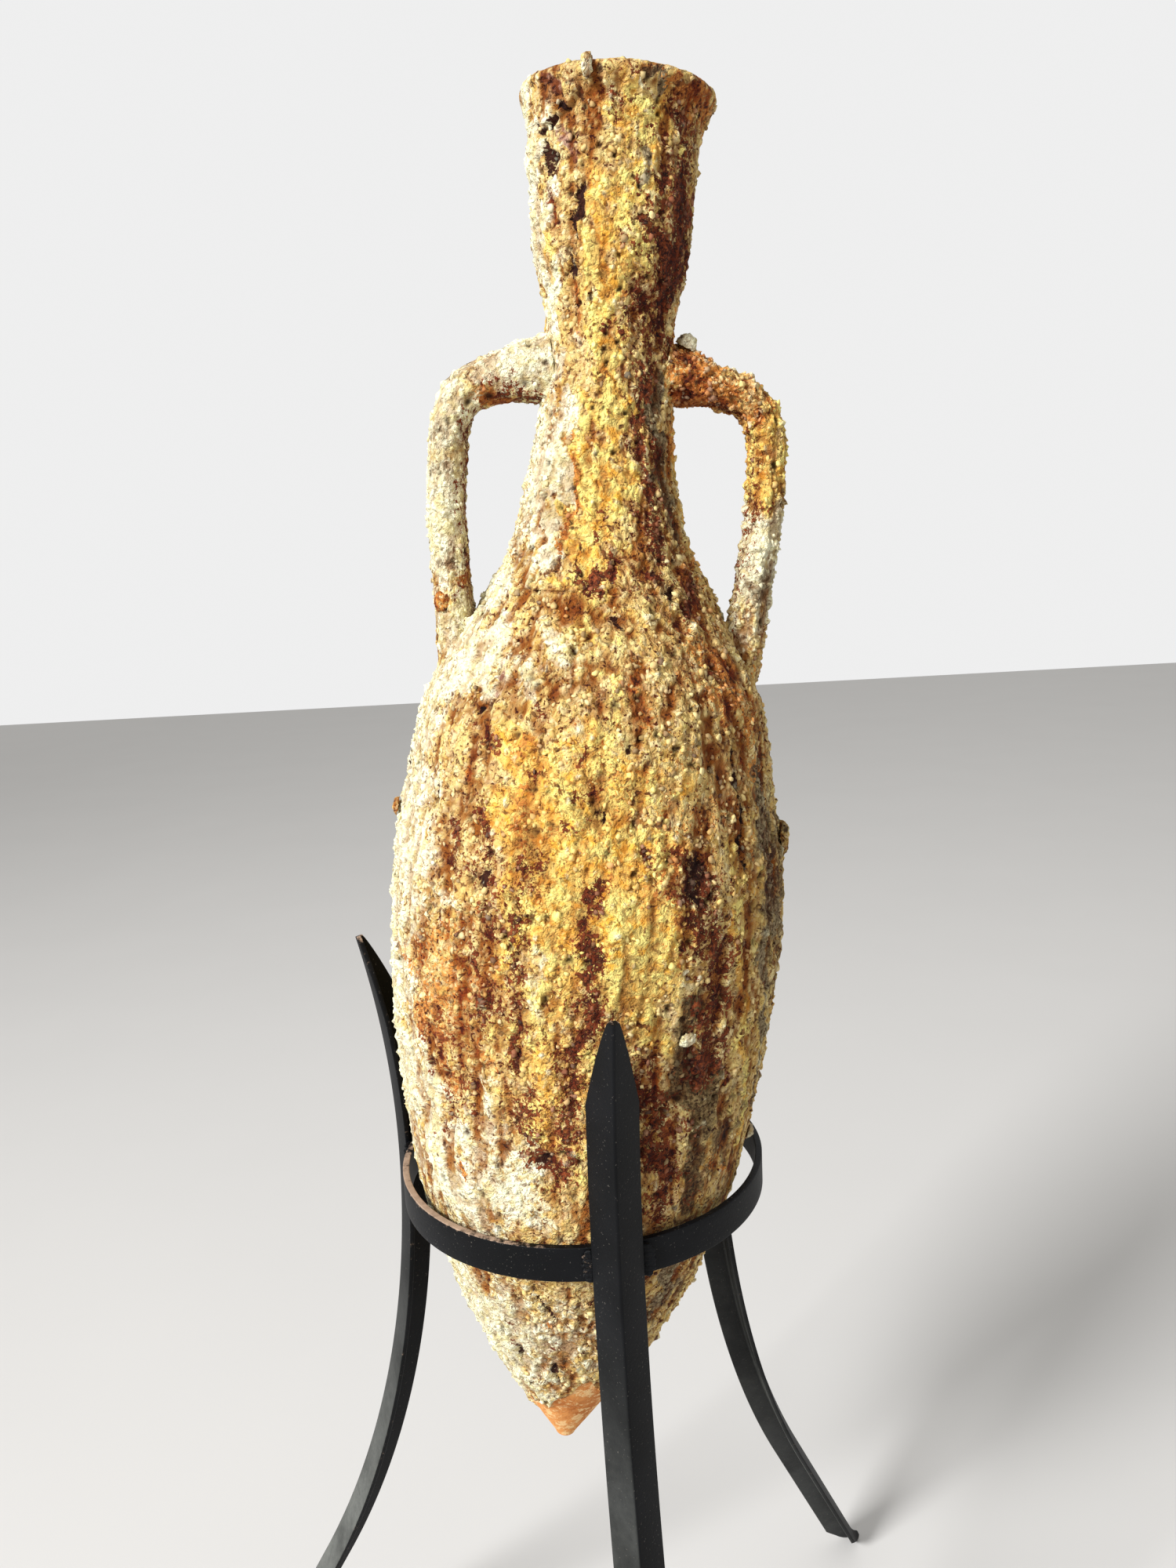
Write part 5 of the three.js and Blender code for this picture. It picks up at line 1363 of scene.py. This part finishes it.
def roughen(tree, shader, rise, strength, distance):
    bump = add(tree, "ShaderNodeBump", {"Height": rise, "Strength": strength, "Distance": distance})
    tree.links.new(bump.outputs[0], shader.inputs["Normal"])


def on_skin(tree, name, output="Fac"):
    """What a piece's mesh keeps on its points under a name."""
    return result(tree, "ShaderNodeAttribute", output, {}, attribute_name=name, attribute_type="GEOMETRY")


def tones(value, low, high, dark, light):
    """From the dark tone to the light one as a value goes from low to high."""
    return mixed(value.tree, value.step(low, high), colour(*dark), colour(*light))


def floor_material():
    material, tree, shader = new_material("pale_floor")
    place = result(tree, "ShaderNodeTexCoord", "Object", {})
    spot = noise(tree, place, 0.35, detail=4.0)
    shade = tuple(0.96 * c for c in FLOOR_COLOUR)
    dress(tree, shader, mixed(tree, spot, (*FLOOR_COLOUR, 1), (*shade, 1)), 0.9)
    return material


def clay_material(name):
    """Fired clay under a crust of sea growth: gold and cream grains, rust, brown and grey stains, with
    painted shade in its crevices, grooves, pits and cracks and a painted highlight on its raised grains and
    crumbs.
    """
    material, tree, shader = new_material(name)
    place = on_skin(tree, "place", "Vector")
    bent = warped(tree, place, 110.0, 0.011)
    stretch = vector_calc(tree, "MULTIPLY", bent, (1.0, 1.0, 0.16))
    coarse = noise(tree, place, 0.030, detail=4.0, roughness=0.6)
    middling = noise(tree, bent, 0.009, detail=3.0, roughness=0.6)
    fine = noise(tree, place, 0.0026, detail=3.0, roughness=0.7)
    streak = noise(tree, stretch, 0.0085, detail=3.0, roughness=0.55, warp=0.3)
    from_grain, grain = cells(tree, bent, 0.0042)
    from_grit, grit = cells(tree, bent, 0.0019, channel=1)
    broken = middling * 0.7 + fine * 0.5 + streak * 0.5 - 0.85
    frayed = middling * 0.5 + fine * 0.9 + streak * 0.35 - 0.88
    cream, gold, brown, olive = (on_skin(tree, key) for key in ("cream", "gold", "brown", "olive"))
    height, lift, pit, crusted = (on_skin(tree, key) for key in ("height", "lift", "pit", "crusted"))

    def patch(key, low, high, spread=1.5, breaks=broken):
        """Where a finish shows: its mark on the skin, with its edge broken up by the grain."""
        mark = on_skin(tree, key)
        return (mark + breaks * spread).step(low, high) * mark.step(0.02, 0.2)

    base = tones(streak, 0.36, 0.62, (214, 172, 92), (246, 226, 150))
    pinkish = noise(tree, stretch, 0.019)
    for factor, tone in (
        (coarse.step(0.42, 0.68, 0.0, 0.7), (236, 210, 144)),
        (middling.step(0.52, 0.72, 0.0, 0.7), (204, 150, 72)),
        (pinkish.step(0.58, 0.72, 0.0, 0.5), (226, 184, 128)),
    ):
        base = mixed(tree, factor, base, colour(*tone))
    grains = ramp(tree, grain, [
        (0.0, colour(120, 80, 32)), (0.14, colour(186, 138, 60)), (0.34, colour(228, 190, 102)),
        (0.62, colour(240, 218, 152)), (0.86, colour(250, 242, 202)), (1.0, colour(216, 172, 118)),
    ])
    base = mixed(tree, 0.36, base, grains)

    amber = noise(tree, bent, 0.021, detail=3.0, roughness=0.6).step(0.48, 0.60, 0.0, 0.6)
    golden = tones(middling, 0.32, 0.56, (243, 182, 66), (255, 237, 140))
    golden = mixed(tree, amber, golden, colour(236, 162, 60))
    for where, tone in (
        (patch("cream", 0.30, 0.62), tones(middling, 0.36, 0.56, (230, 218, 164), (252, 250, 216))),
        (patch("gold", 0.34, 0.64), golden),
        (patch("olive", 0.34, 0.66), tones(fine, 0.4, 0.62, (94, 74, 42), (160, 136, 92))),
        (patch("grey", 0.34, 0.66), tones(fine, 0.4, 0.62, (112, 94, 62), (178, 160, 124))),
        (patch("rust", 0.40, 0.68, 2.4, frayed), tones(fine, 0.38, 0.62, (166, 92, 36), (232, 158, 76))),
        (patch("brown", 0.42, 0.64, 3.0, frayed), tones(fine, 0.40, 0.62, (66, 22, 12), (146, 74, 38))),
    ):
        base = mixed(tree, where, base, tone)
    blotch = noise(tree, bent, 0.0085, roughness=0.6).step(0.60, 0.66)
    blotch = blotch * noise(tree, place, 0.045, detail=1.0).step(0.42, 0.6, 0.15, 0.9)
    blotch = blotch * cream.step(0.2, 0.9, 1.0, 0.2)
    base = mixed(tree, blotch, base, tones(fine, 0.4, 0.6, (84, 38, 16), (150, 92, 44)))
    base = mixed(tree, patch("bare", 0.4, 0.65), base, colour(186, 146, 126))
    # Painted shade in the cracks and crevices that the dark marks follow.
    base = mixed(tree, patch("dark", 0.46, 0.80, 2.4, frayed), base, colour(62, 28, 14))

    clean = cream.step(0.3, 1.0, 1.0, 0.5) * gold.step(0.3, 1.0, 1.0, 0.7)
    # Painted shade: the hollows between grains and the low places of the crust are darkened, less on the
    # crumbs' tops and where cream and gold show.
    crevice_shade = from_grain.step(0.42, 0.78) * fine.step(0.32, 0.58, 1.0, 0.2)
    crevice_shade = largest(crevice_shade, height.step(0.36, 0.06)) * (1.0 - lift * 0.8)
    # Painted shade in the grooves between the crust's runs.
    groove_shade = on_skin(tree, "run").step(-0.05, -0.42) * 0.62
    groove_shade = groove_shade * middling.step(0.38, 0.60, 0.15, 1.0) * cream.step(0.1, 0.6, 1.0, 0.2)
    speck = noise(tree, place, 0.0034, roughness=0.6).step(0.60, 0.68, 0.0, 1.0)
    speck = largest(speck, grit.step(0.12, 0.06) * 0.7)
    for factor, tint in (
        (crevice_shade * clean, (164, 110, 60)), (groove_shade, (178, 122, 68)), (speck * clean, (108, 54, 24)),
    ):
        base = mixed(tree, factor, base, colour(*tint), "MULTIPLY")
    # Painted highlight: the raised grains and the outer side of each crumb are painted pale.
    high = largest(height.step(0.50, 0.80), lift * CRUMB_HIGHLIGHT) * fine.step(0.40, 0.58, 0.25, 0.95)
    high = high * brown.step(0.3, 0.9, 1.0, 0.25) * olive.step(0.2, 0.9, 1.0, 0.45)
    base = mixed(tree, high, base, colour(254, 248, 208))
    # Painted shade: the pits are painted near black.
    base = mixed(tree, pit * 0.9, base, colour(50, 24, 10))

    terracotta = tones(coarse, 0.35, 0.65, (188, 112, 48), (221, 150, 82))
    terracotta = mixed(tree, streak.step(0.55, 0.75, 0.0, 0.6), terracotta, colour(160, 86, 30))
    dusty = (middling + fine * 0.4).step(0.70, 0.80, 0.0, 0.75)
    terracotta = mixed(tree, dusty, terracotta, colour(240, 204, 146))
    bare_clay = calc(tree, "SUBTRACT", 1.0, crusted, clamp=True)
    base = mixed(tree, bare_clay.step(0.3, 0.7), base, terracotta)
    lining = tones(coarse, 0.35, 0.65, (150, 104, 62), (190, 146, 98))
    base = mixed(tree, on_skin(tree, "inside"), base, lining)
    dress(tree, shader, base, fine.step(0.3, 0.7, 0.82, 0.98), 0.25)

    rise = from_grain * -0.9 + from_grit * -0.35 + fine * 1.3
    roughen(tree, shader, rise * (crusted * 0.85 + 0.15), 1.0, 0.0021)
    return material


def paint_material(name):
    """Satin black paint on steel with a fine orange peel, worn along the ring's top and the points, and paler
    near the legs' feet on the faces turned to the lamp, as dust and painted light.
    """
    material, tree, shader = new_material(name)
    place = result(tree, "ShaderNodeTexCoord", "Object", {})
    peel = noise(tree, place, 0.0022, roughness=0.6)
    dust = noise(tree, place, 0.05, detail=4.0)
    scuff = noise(tree, place, 0.006, detail=4.0, roughness=0.7)
    black = tones(dust, 0.35, 0.7, (6, 7, 9), (15, 16, 19))
    flecks = noise(tree, place, 0.0016, detail=1.0).step(0.70, 0.76) * 0.5
    black = mixed(tree, flecks, black, colour(96, 92, 86))
    # Painted light with dust: a pale grey on the faces turned to the lamp, near the feet.
    dust_and_light = on_skin(tree, "dust_and_painted_light") * dust.step(0.25, 0.6, 0.3, 0.85)
    black = mixed(tree, dust_and_light, black, mixed(tree, scuff, colour(84, 86, 84), colour(142, 144, 138)))
    worn = (on_skin(tree, "wear") + (scuff - 0.5) * 1.3).step(0.5, 0.8)
    tone = mixed(tree, worn, black, mixed(tree, scuff, colour(108, 88, 74), colour(190, 164, 142)))
    dress(tree, shader, tone, worn.step(0.0, 1.0, 0.5, 0.8), 0.12)
    roughen(tree, shader, peel, 0.35, 0.0004)
    return material


# Everything is put together

place_camera()
lay_floor()
light_the_studio()

CRUST = crust_tree()
CRUMBS = crumb_tree()
crusted_clay = clay_material("crusted_clay")
black_paint = paint_material("black_paint")

body = make_body(crusted_clay)
crumbs_over(body, "body_crumbs", "body")
neck = make_neck(crusted_clay)
crumbs_over(neck, "neck_crumbs", "neck_and_mouth")
make_toe(crusted_clay)
for handle in HANDLES:
    make_handle(handle, crusted_clay)
for growth in GROWTHS:
    make_growth(growth, crusted_clay)
make_ring(black_paint)
for leg in LEGS:
    make_leg(leg, black_paint)
for node in list(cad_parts):
    if node.startswith("weld_"):
        make_weld(node, black_paint)

scene = bpy.context.scene
scene.view_settings.view_transform = "Standard"
